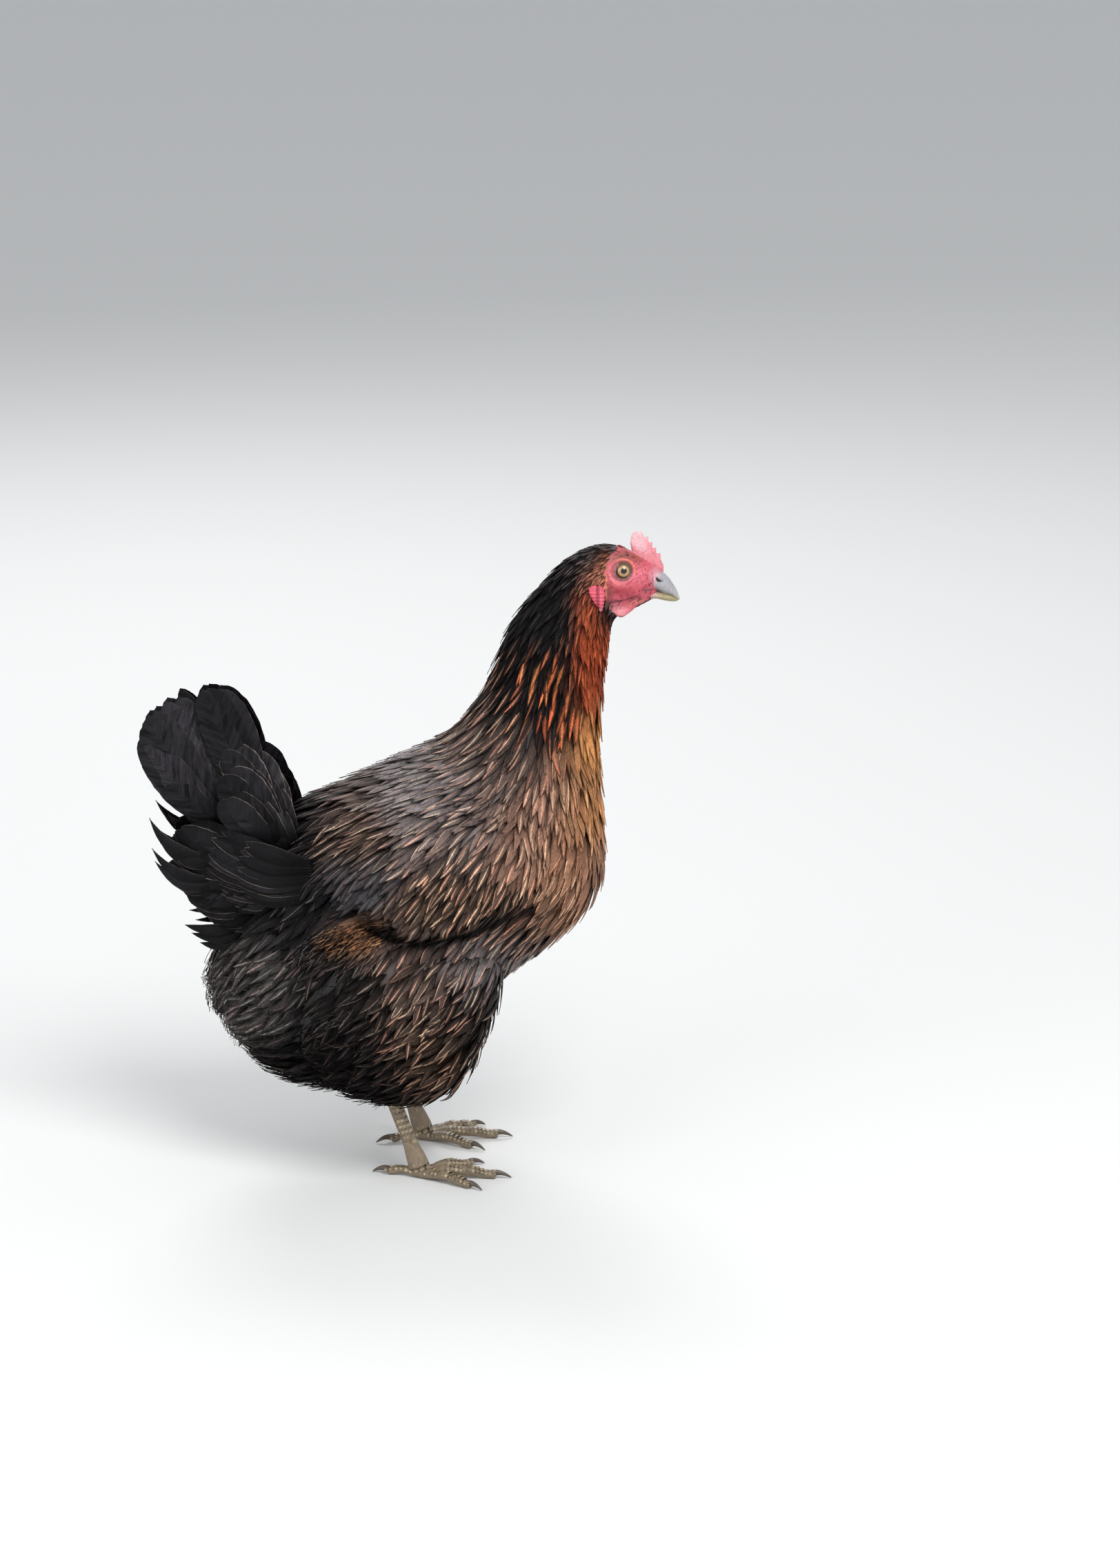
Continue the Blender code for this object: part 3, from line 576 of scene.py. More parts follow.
@dataclass
class Feathers:
    """Feathers as arrays with a row for each: middle line and normals (n, rows, 3), half width
    (n, rows), root's place on the unwrap (n, 2), colours (n, 3), width of the pale marking, own
    chance, looseness and how much the marking follows the shaft (n,)."""

    spine: Array
    normal: Array
    half: Array
    patch: Array
    ground: Array
    lace: Array
    rim: Array
    chance: Array
    loose: Array
    shaft: Array

    def pick(self, mask: Array) -> "Feathers":
        """The feathers that the mask names."""
        return Feathers(*(getattr(self, name)[mask] for name in self.__dataclass_fields__))


def join(groups: list[Feathers]) -> Feathers:
    """Several groups as one."""
    names = Feathers.__dataclass_fields__
    return Feathers(*(np.concatenate([getattr(g, name) for g in groups]) for name in names))


def stations(rows: int) -> Array:
    """Shares of a feather's length, closer together towards the tip."""
    return 1 - (1 - np.linspace(0, 1, rows)) ** 1.35


def outline(share: Array, point: Array, widest: float = 0.42) -> Array:
    """Half width along a feather, from 0 to 1.

    It swells from the root by a power up to its widest place, and then closes as
    (1 - q^p)^e, which is an arc for a round tip and nearly a straight taper for a pointed one.
    """
    rise = np.clip(share / widest, 0.0, 1.0) ** 0.55
    q = np.clip((share - widest) / (1 - widest), 0.0, 1.0)
    p = 2.3 - 0.9 * point[:, None]
    e = 0.5 + 0.5 * np.maximum(point, 0)[:, None]
    close = np.maximum(1 - q[None, :] ** p, 0.0) ** e
    return np.maximum(rise[None, :] * close, 0.06)


def patch_uv(centre: Array, u: Array, v: Array) -> Array:
    """Places in the small square that a feather has round its root on the unwrap."""
    return centre[:, None, :] + (np.stack([u, v], axis=1)[None] - 0.5) * PATCH_SIDE


def mesh_of(name: str, points: Array, faces: list[Array]) -> bpy.types.Object:
    """A smooth mesh object from points and arrays of faces, each array of one size of face."""
    mesh = bpy.data.meshes.new(name)
    mesh.vertices.add(len(points))
    mesh.vertices.foreach_set("co", np.ascontiguousarray(points, np.float32).ravel())
    loops = np.concatenate([f.ravel() for f in faces]).astype(np.int32)
    sizes = np.concatenate([np.full(len(f), f.shape[1]) for f in faces])
    mesh.loops.add(len(loops))
    mesh.loops.foreach_set("vertex_index", loops)
    mesh.polygons.add(len(sizes))
    mesh.polygons.foreach_set("loop_start", (np.cumsum(sizes) - sizes).astype(np.int32))
    mesh.update(calc_edges=True)
    mesh.shade_smooth()
    obj = bpy.data.objects.new(name, mesh)
    bpy.context.scene.collection.objects.link(obj)
    return obj


def paint(mesh: bpy.types.Mesh, name: str, values: Array) -> None:
    """Stores three numbers for each vertex as a colour attribute."""
    layer = mesh.attributes.new(name, "FLOAT_COLOR", "POINT")
    full = np.ones((len(values), 4), np.float32)
    full[:, :values.shape[1]] = values
    layer.data.foreach_set("color", full.ravel())


def lay_uv(mesh: bpy.types.Mesh, name: str, per_vertex: Array) -> None:
    """A UV map that gives every corner its vertex's place."""
    corners = np.zeros(len(mesh.loops), np.int32)
    mesh.loops.foreach_get("vertex_index", corners)
    layer = mesh.uv_layers.new(name=name)
    layer.uv.foreach_set("vector", per_vertex[corners].astype(np.float32).ravel())


@dataclass(frozen=True)
class Vane:
    """How a feather's flat is cut: columns of faces across it, hollow of its arch as a share of
    the half width, and thickness at the shaft."""

    columns: int = 2
    arch: float = 0.16
    thick: float = 0.22 * MM

    def build(self, name: str, coat: Feathers) -> bpy.types.Object:
        """Joins the feathers into one mesh of closed vanes.

        A ring round the vane runs over the top from edge to edge and back underneath. Its place
        across is a, from -1 to 1, and its height is the thickness times (1 - a^2), less the arch
        times a^2. The ends close on poles.

        Args:
            name: The piece's name.
            coat: Its feathers.

        Returns:
            The mesh object, with UV maps vane and OFBake and its attributes.
        """
        n, rows = coat.half.shape
        top = np.linspace(-1, 1, self.columns + 1)
        a = np.concatenate([top, top[-2:0:-1]])
        over = np.concatenate([np.ones(self.columns + 1), -np.ones(self.columns - 1)])
        run = unit(np.gradient(coat.spine, axis=1))
        across = unit(np.cross(coat.normal, run))
        up = np.cross(run, across)
        half = coat.half[:, :, None]
        height = over * self.thick * (1 - a**2) - self.arch * half * a**2
        rings = (coat.spine[:, :, None] + across[:, :, None] * (half * a)[..., None]
                 + up[:, :, None] * height[..., None])
        reach = coat.half[:, [0, -1], None] * np.array([-0.5, 0.9])[:, None]
        poles = coat.spine[:, [0, -1]] + run[:, [0, -1]] * reach
        block = rows * len(a) + 2
        points = np.concatenate([rings.reshape(n, block - 2, 3), poles], axis=1).reshape(-1, 3)
        start = (np.arange(n) * block)[:, None, None]
        quads, tris = loft_faces(rows, len(a))
        obj = mesh_of(name, points, [(quads[:, [0, 3, 2, 1]] + start).reshape(-1, 4),
                                     (tris[:, [0, 2, 1]] + start).reshape(-1, 3)])
        # The colours are darkened by the painted shade of the crease along the wing's lower edge.
        self.store(obj.data, coat, a, PLUMAGE.shade(points)[:, None])
        self.crease_edges(obj.data, np.tile(self.edge_marks(rows, len(a)), n))
        return obj

    @staticmethod
    def store(mesh: bpy.types.Mesh, coat: Feathers, a: Array, shade: Array) -> None:
        """Gives a mesh of vanes its two UV maps, colours, sizes and own chances.

        Args:
            mesh: The mesh.
            coat: Its feathers.
            a: Places across of one ring's points, from -1 to 1.
            shade: Share of the colours left at each point by the painted shade of the wing's
                crease.
        """
        n, rows = coat.half.shape
        block = rows * len(a) + 2
        u = np.concatenate([np.tile((a + 1) / 2, rows), [0.5, 0.5]])
        v = np.concatenate([np.repeat(stations(rows), len(a)), [0.0, 1.0]])
        lay_uv(mesh, "vane", np.tile(np.stack([u, v], axis=1), (n, 1)))
        lay_uv(mesh, "OFBake", patch_uv(coat.patch, u, v).reshape(-1, 2))
        mesh.uv_layers.active = mesh.uv_layers["vane"]
        # Both colours carry the painted shade of the wing's crease.
        paint(mesh, "ground", np.repeat(coat.ground, block, axis=0) * shade)
        paint(mesh, "lace", np.repeat(coat.lace, block, axis=0) * shade)
        wide = np.concatenate([np.repeat(coat.half, len(a), axis=1), coat.half[:, [0, -1]]], axis=1)
        long = np.linalg.norm(np.diff(coat.spine, axis=1), axis=2).sum(axis=1)
        paint(mesh, "vane_size", np.stack(
            [wide.ravel() / MM, np.repeat(coat.rim, block), np.repeat(long, block) / MM], axis=1))
        paint(mesh, "vane_own", np.stack(
            [np.repeat(own, block) for own in (coat.chance, coat.loose, coat.shaft)], axis=1))

    def edge_marks(self, rows: int, ring: int) -> Array:
        """1 on a feather's left edge, 2 on its right edge, 0 elsewhere."""
        marks = np.zeros((rows, ring), int)
        marks[:, 0], marks[:, self.columns] = 1, 2
        return np.concatenate([marks.ravel(), [0, 0]])

    @staticmethod
    def crease_edges(mesh: bpy.types.Mesh, marks: Array) -> None:
        """Marks the vane's thin edges sharp, so that its top and underside shade apart."""
        ends = np.zeros(len(mesh.edges) * 2, np.int32)
        mesh.edges.foreach_get("vertices", ends)
        a, b = marks[ends.reshape(-1, 2)].T
        mesh.edges.foreach_set("use_edge_sharp", (a > 0) & (a == b))


# Node trees --------------------


class Tree:
    """Small hand for wiring nodes: add makes a node, and sets or links its inputs."""

    def __init__(self, tree: bpy.types.NodeTree) -> None:
        """Keeps the tree."""
        self.tree = tree

    def add(self, kind: str, *inputs: object, **options: object) -> bpy.types.NodeSocket:
        """Makes a node.

        Args:
            kind: The node's type, without the ShaderNode that it starts with.
            inputs: For each input in turn, a socket to link, a value to set, or None to leave.
            options: Properties of the node itself, and out for the name of the output wanted.

        Returns:
            The wanted output, or the first.
        """
        out = options.pop("out", 0)
        node = self.tree.nodes.new("ShaderNode" + kind)
        for name, value in options.items():
            setattr(node, name, value)
        for place, value in enumerate(inputs):
            if isinstance(value, bpy.types.NodeSocket):
                self.tree.links.new(value, node.inputs[place])
            elif value is not None:
                node.inputs[place].default_value = value
        return node.outputs[out]

    def math(self, operation: str, *inputs: object, clamp: bool = False) -> bpy.types.NodeSocket:
        """A Math node."""
        return self.add("Math", *inputs, operation=operation, use_clamp=clamp)

    def ease(self, value: object, low: object, high: object) -> bpy.types.NodeSocket:
        """Smooth step of a value from 0 at low to 1 at high."""
        return self.add("MapRange", value, low, high, 0.0, 1.0,
                        interpolation_type="SMOOTHSTEP")

    def mix(self, share: object, first: object, second: object,
            blend: str = "MIX") -> bpy.types.NodeSocket:
        """A colour mixed from two."""
        node = self.tree.nodes.new("ShaderNodeMix")
        node.data_type, node.blend_type = "RGBA", blend
        for place, value in ((0, share), (6, first), (7, second)):
            if isinstance(value, bpy.types.NodeSocket):
                self.tree.links.new(value, node.inputs[place])
            else:
                node.inputs[place].default_value = value
        return node.outputs[2]


def group_tree(name: str, inputs: tuple[tuple[str, str], ...],
               outputs: tuple[tuple[str, str], ...]) -> tuple[Tree, dict, bpy.types.Node]:
    """An empty node group with named sockets.

    Returns:
        Its tree, its input sockets by name, and its output node.
    """
    made = bpy.data.node_groups.new(name, "ShaderNodeTree")
    for way, sockets in (("INPUT", inputs), ("OUTPUT", outputs)):
        for socket, kind in sockets:
            made.interface.new_socket(socket, in_out=way, socket_type="NodeSocket" + kind)
    tree = Tree(made)
    start = made.nodes.new("NodeGroupInput")
    end = made.nodes.new("NodeGroupOutput")
    return tree, {s.name: s for s in start.outputs}, end


def vane_group() -> bpy.types.NodeTree:
    """Pattern of one feather. The distance to the edge, in millimetres, is (1 - |a|) times the
    half width. The lace lies where it is under the rim's width, wider on one side than on the
    other by the feather's own chance, and broken by noise; a paler zone runs inside it. On other
    feathers the same colour runs as a tapered streak along the shaft, and the edge is dark. Barbs
    are fine lines that slant back from the shaft. The vane darkens towards its root, partly as its
    downy base and partly as painted shade under the feathers over it. Wide feathers also have
    broad lighter and darker bands along the barbs: painted sheen and shade, as of soft folds.
    Multiples of a feather's chance give it further chances and its own part of the noise."""
    tree, given, end = group_tree(
        "vane_pattern",
        (("Ground", "Color"), ("Lace", "Color"), ("Vane", "Vector"), ("Size", "Vector"),
         ("Own", "Vector")),
        (("Colour", "Color"), ("Height", "Float")))
    mul, add, sub, most, fma = (partial(tree.math, operation) for operation in (
        "MULTIPLY", "ADD", "SUBTRACT", "MAXIMUM", "MULTIPLY_ADD"))
    part, vector, noise = (
        partial(tree.add, kind) for kind in ("SeparateXYZ", "CombineXYZ", "TexNoise"))
    smooth = tree.ease
    u, v = (part(given["Vane"], out=k) for k in range(2))
    half, rim, long = (part(given["Size"], out=k) for k in range(3))
    chance, loose, shafted = (part(given["Own"], out=k) for k in range(3))
    signed = fma(u, 2.0, -1.0)
    a = tree.math("ABSOLUTE", signed)
    to_edge = mul(sub(1.0, a), half)
    run = mul(v, long)
    across = mul(a, half)
    own = tree.math("FRACT", mul(chance, 7.31))

    where = vector(mul(u, 3.0), run, mul(chance, 97.0))
    wander = noise(where, None, 0.16, 3.0, 0.6)
    fray = noise(where, None, 1.3, 2.0, 0.5)
    bias = mul(signed, tree.math("SIGN", sub(own, 0.5)))
    both = tree.math("FRACT", mul(chance, 13.7))
    bias = add(bias, fma(both, 1.7, 0.2), clamp=True)
    width = mul(rim, fma(wander, 1.5, -0.15))
    width = most(mul(width, bias), 0.02)
    width = tree.math("MINIMUM", width, fma(half, 0.26, 0.02))
    lace = sub(1.0, smooth(to_edge, mul(width, 0.5), width))
    wash = sub(1.0, smooth(to_edge, width, mul(width, 2.6)))
    lace = most(lace, mul(wash, 0.22))
    lace = mul(lace, smooth(v, 0.15, 0.45))
    taper = mul(smooth(v, 0.25, 0.6), sub(1.0, smooth(v, 0.86, 1.0)))
    drift = mul(sub(own, 0.5), smooth(v, 0.15, 1.1))
    beside = sub(signed, mul(drift, 1.1))
    beside = mul(tree.math("ABSOLUTE", beside), half)
    width = mul(rim, fma(wander, 1.0, -0.04))
    width = mul(width, smooth(both, -0.05, 0.4))
    width = most(mul(width, taper), 0.015)
    streak = sub(1.0, smooth(beside, mul(width, 0.35), width))
    glow = sub(1.0, smooth(beside, 0.0, mul(width, 3.2)))
    streak = most(streak, mul(glow, 0.24))
    lace = add(mul(streak, shafted), mul(lace, sub(1.0, shafted)))
    rim_shade = sub(1.0, smooth(to_edge, 0.15, 0.95))
    rim_shade = mul(mul(rim_shade, shafted), 0.6)
    lace = mul(lace, fma(fray, 0.9, 0.45, clamp=True))
    coloured = tree.mix(lace, given["Ground"], given["Lace"])

    slant = sub(run, mul(across, 1.1))
    slant = add(slant, mul(fray, 0.8))
    barb = tree.math("SINE", mul(slant, 9.0))
    shaft = sub(1.0, smooth(across, 0.1, 0.34))
    shade = fma(barb, 0.15, 1.0)
    shade = mul(shade, fma(chance, 0.7, 0.65))
    # Darker towards the root: partly the downy base's own colour, partly painted shade under the
    # overlying feathers.
    shade = mul(shade, fma(smooth(v, 0.1, 0.7), 0.75, 0.25))
    shade = add(shade, mul(shaft, 0.2))
    shade = mul(shade, fma(fray, 0.7, 0.65))
    ripple = vector(mul(slant, 0.75), mul(signed, 0.4), mul(chance, 61.0))
    ripple = noise(ripple, None, 1.0, 2.0, 0.6)
    shade = mul(shade, fma(ripple, 1.5, 0.25))
    shade = mul(shade, sub(1.0, rim_shade))
    # Broad lighter and darker bands along the barbs of wide feathers: painted sheen and shade, as
    # of soft folds.
    fold = vector(mul(slant, 0.22), mul(signed, 0.8), mul(chance, 43.0))
    fold = noise(fold, None, 1.0, 3.0, 0.65)
    fold = mul(fma(fold, 4.4, -2.2), smooth(half, 6.0, 10.0))
    shade = mul(shade, most(add(fold, 1.0), 0.25))
    grey = vector(shade, shade, shade)
    final = tree.mix(1.0, coloured, grey, "MULTIPLY")
    height = add(mul(barb, 0.5), mul(shaft, 1.2))
    height = add(height, mul(ripple, 4.0))
    height = mul(height, fma(loose, 0.6, 0.7))
    tree.tree.links.new(final, end.inputs["Colour"])
    tree.tree.links.new(height, end.inputs["Height"])
    return tree.tree


def new_material(name: str, settings: dict[str, object]
                 ) -> tuple[bpy.types.Material, Tree, bpy.types.Node]:
    """A material with the given values on its shader's sockets.

    Returns:
        The material, its tree and its shader.
    """
    made = bpy.data.materials.new(name)
    made.use_nodes = True
    shader = made.node_tree.nodes["Principled BSDF"]
    for socket, value in settings.items():
        shader.inputs[socket].default_value = value
    return made, Tree(made.node_tree), shader


@dataclass(frozen=True)
class FeatherFinish:
    """Finish of a kind of feather: how rough it is, and how much it mirrors."""

    name: str
    roughness: float
    specular: float

    def material(self, pattern: bpy.types.NodeTree) -> bpy.types.Material:
        """The material, its colour and barbs from the pattern group."""
        made, tree, shader = new_material(
            self.name, {"Roughness": self.roughness, "Specular IOR Level": self.specular})
        links = tree.tree.links
        group = tree.tree.nodes.new("ShaderNodeGroup")
        group.node_tree = pattern
        for socket, name in (("Ground", "ground"), ("Lace", "lace"), ("Size", "vane_size"),
                             ("Own", "vane_own")):
            out = "Color" if socket in ("Ground", "Lace") else "Vector"
            links.new(tree.add("Attribute", attribute_name=name, out=out), group.inputs[socket])
        links.new(tree.add("UVMap", uv_map="vane"), group.inputs["Vane"])
        bump = tree.add("Bump", 0.35, 0.00012, None, group.outputs["Height"])
        links.new(group.outputs["Colour"], shader.inputs["Base Color"])
        links.new(bump, shader.inputs["Normal"])
        return made


@dataclass(frozen=True)
class Finish:
    """Finish of a piece whose colour is painted on it: roughness, gloss coat, flesh's glow, and
    size in millimetres and depth of its fine grain."""

    name: str
    roughness: float
    gloss: float = 0.0
    glow: float = 0.0
    grain_size: float = 0.6
    grain_depth: float = 0.0

    def material(self) -> bpy.types.Material:
        """The material."""
        made, tree, shader = new_material(self.name, {
            "Roughness": self.roughness, "Coat Weight": self.gloss, "Coat Roughness": 0.03,
            "Subsurface Weight": self.glow, "Subsurface Radius": (1.0, 0.25, 0.18),
            "Subsurface Scale": 0.002})
        links = tree.tree.links
        links.new(tree.add("Attribute", attribute_name="ground", out="Color"),
                  shader.inputs["Base Color"])
        if self.grain_depth:
            place = tree.add("TexCoord", out="Object")
            cells = tree.add("TexVoronoi", place, None, 1000.0 / self.grain_size)
            links.new(tree.add("Bump", self.grain_depth, 0.0002, None, cells),
                      shader.inputs["Normal"])
        return made


# Where the bare face lies, seen from the side.
FACE_OUTLINE = (
    (0.1495, 0.456), (0.1465, 0.4515), (0.1425, 0.4485), (0.1405, 0.4455), (0.1395, 0.442),
    (0.139, 0.4375), (0.139, 0.4262), (0.1392, 0.4175), (0.142, 0.411), (0.1475, 0.4033),
    (0.153, 0.405), (0.16, 0.4095), (0.169, 0.415), (0.175, 0.414), (0.2, 0.41),
    (0.2, 0.47), (0.15, 0.47),
)


# Body --------------------------


@dataclass
class Body:
    """Trunk, neck and head as one loft along a bent spine, from rump to bill, with the folded
    wings swelling off the flanks. A station holds its upper x and z, its lower x and z, half its
    width and how square it is."""

    stations: tuple[tuple[float, ...], ...] = (
        (-0.1418, 0.1425, -0.1416, 0.1385, 0.002, 2.0),
        (-0.1408, 0.157, -0.1395, 0.124, 0.015, 2.0),
        (-0.137, 0.17, -0.133, 0.112, 0.027, 2.0),
        (-0.122, 0.204, -0.118, 0.087, 0.049, 2.0),
        (-0.104, 0.241, -0.096, 0.067, 0.064, 2.1),
        (-0.08, 0.269, -0.066, 0.057, 0.073, 2.1),
        (-0.046, 0.285, -0.024, 0.06, 0.08, 2.1),
        (-0.016, 0.298, 0.026, 0.098, 0.083, 2.1),
        (0.008, 0.309, 0.066, 0.137, 0.082, 2.1),
        (0.024, 0.317, 0.1, 0.162, 0.077, 2.0),
        (0.033, 0.325, 0.126, 0.185, 0.07, 2.0),
        (0.041, 0.335, 0.1395, 0.214, 0.06, 2.0),
        (0.049, 0.347, 0.1395, 0.251, 0.05, 2.0),
        (0.055, 0.36, 0.1375, 0.288, 0.0415, 2.0),
        (0.061, 0.375, 0.137, 0.322, 0.036, 2.0),
        (0.068, 0.392, 0.139, 0.354, 0.0325, 2.0),
        (0.079, 0.41, 0.1415, 0.378, 0.029, 2.0),
        (0.094, 0.427, 0.143, 0.392, 0.026, 2.0),
        (0.1095, 0.4425, 0.1455, 0.399, 0.0225, 2.0),
        (0.129, 0.452, 0.152, 0.4045, 0.02, 2.1),
        (0.145, 0.4525, 0.1605, 0.4092, 0.018, 2.2),
        (0.159, 0.447, 0.168, 0.413, 0.0125, 2.1),
        (0.171, 0.44, 0.173, 0.4162, 0.0073, 2.0),
        (0.1775, 0.4345, 0.1745, 0.42, 0.003, 2.0),
    )
    # Depth of the coat at each station, in millimetres.
    depths: tuple[float, ...] = (9, 9, 9, 9, 9, 8.5, 8, 8, 7.5, 7, 7, 6.5, 6, 5.5, 5.5, 5, 4.5, 3.5,
                                 2.4, 1.2, 0.4, 0.0, 0.0, 0.0)
    # Wing: upper x and z, lower x and z, and swell, from the wrist back to its end.
    wing: tuple[tuple[float, ...], ...] = (
        (0.104, 0.24, 0.1045, 0.226, 0.006),
        (0.096, 0.254, 0.095, 0.22, 0.0085),
        (0.079, 0.269, 0.077, 0.213, 0.011),
        (0.056, 0.28, 0.052, 0.2, 0.0125),
        (0.028, 0.285, 0.024, 0.1905, 0.013),
        (-0.002, 0.28, -0.006, 0.1895, 0.0125),
        (-0.029, 0.264, -0.03, 0.205, 0.011),
        (-0.053, 0.245, -0.056, 0.215, 0.009),
        (-0.074, 0.231, -0.075, 0.221, 0.0065),
    )
    # Station behind the head at which the trunk's own skin ends.
    head_station: float = 19.4
    rows: int = 264
    around: int = 192
    pelt: Pelt = field(init=False)

    def __post_init__(self) -> None:
        """Builds the pelt."""
        table = catmull(self.stations[::-1], self.rows)
        grid = section_grid(table, self.around)
        x, y, z = np.moveaxis(grid, 2, 0)
        out = ease(np.abs(y / table[:, 4:5]), 0.15, 0.6)
        grid[:, :, 1] += np.sign(y) * self.wing_swell(x, z) * out
        depth = catmull(np.array(self.depths)[::-1, None], self.rows) * MM
        self.pelt = Pelt(grid, np.maximum(depth, 0) + 0 * x, 11)

    def inner(self) -> Array:
        """The skin up to behind the head, drawn in at its end to go under the head's own."""
        station = np.linspace(len(self.stations) - 1, 0, self.rows)
        keep = station < self.head_station
        skin, station = self.pelt.skin[keep], station[keep]
        middle = skin.mean(axis=1, keepdims=True)
        draw = 1 - 0.85 * ease(station, 18.0, self.head_station)
        return middle + (skin - middle) * draw[:, None, None]

    def wing_swell(self, x: Array, z: Array) -> Array:
        """How far the folded wing stands off the flank: its table's swell, eased in at the front
        and the upper edge, and dropped sharply past the lower edge and the end."""
        w = np.array(self.wing)[::-1]
        along = (w[:, 0] + w[:, 2]) / 2
        upper, lower, swell = (np.interp(x, along, w[:, k]) for k in (1, 3, 4))
        from_top = ease(upper - z, -0.014, 0.02)
        to_bottom = ease(z - lower, -0.004, 0.003)
        ends = ease(along[-1] + 0.004 - x, 0.0, 0.028) * ease(x - along[0], -0.01, 0.006)
        return swell * from_top * to_bottom * ends

    @staticmethod
    def bare(points: Array) -> Array:
        """1 on the bare face, 0 on feathered skin, with an uneven border."""
        uneven = (grain(points, 2.6 * MM, 5.0)[:, None] - 0.5) * [4.0 * MM, 1.5 * MM]
        return within(points[:, [0, 2]] + uneven, FACE_OUTLINE, 1.5 * MM)


@dataclass
class Thigh:
    """A feathered thigh: level sections from inside the flank down to the hock. A section holds
    its front x, back x, height, distance from the mid-plane and half thickness."""

    side: float
    salt: int
    sections: tuple[tuple[float, ...], ...] = (
        (0.064, -0.052, 0.178, 0.051, 0.03),
        (0.073, -0.066, 0.162, 0.053, 0.0345),
        (0.067, -0.076, 0.136, 0.053, 0.035),
        (0.056, -0.077, 0.106, 0.052, 0.034),
        (0.045, -0.062, 0.08, 0.049, 0.029),
        (0.031, -0.042, 0.064, 0.045, 0.02),
        (0.012, -0.018, 0.0565, 0.042, 0.009),
    )
    square: float = 2.4
    rows: int = 72
    around: int = 96
    pelt: Pelt = field(init=False)

    def __post_init__(self) -> None:
        """Builds the pelt."""
        table = catmull(self.sections, self.rows)
        turn = round_turn(self.around)
        cos, sin = power(np.cos(turn), 2 / self.square), power(np.sin(turn), 2 / self.square)
        front, back, height, middle, thick = table.T[:, :, None]
        x = (front + back) / 2 + (front - back) / 2 * cos
        y = self.side * (middle + thick * sin)
        depth = np.minimum(8.5 * MM, thick * 0.42) + 0 * x
        self.pelt = Pelt(np.stack([x, y, height + 0 * x], axis=2), depth, self.salt)


@dataclass
class Cushion:
    """The coverts round the tail's root, with stations as the body has them."""

    stations: tuple[tuple[float, ...], ...] = (
        (-0.08, 0.266, -0.094, 0.15, 0.056, 2.3),
        (-0.1, 0.272, -0.122, 0.16, 0.049, 2.3),
        (-0.12, 0.266, -0.14, 0.18, 0.039, 2.2),
        (-0.138, 0.258, -0.151, 0.201, 0.029, 2.1),
        (-0.152, 0.25, -0.159, 0.217, 0.019, 2.0),
        (-0.16, 0.243, -0.162, 0.228, 0.008, 2.0),
    )
    rows: int = 64
    around: int = 96
    pelt: Pelt = field(init=False)

    def __post_init__(self) -> None:
        """Builds the pelt."""
        table = catmull(self.stations, self.rows)
        grid = section_grid(table, self.around)
        depth = np.minimum(9 * MM, table[:, 4:5] * 0.4) + 0 * grid[:, :, 0]
        self.pelt = Pelt(grid, depth, 31)


# Coat --------------------------


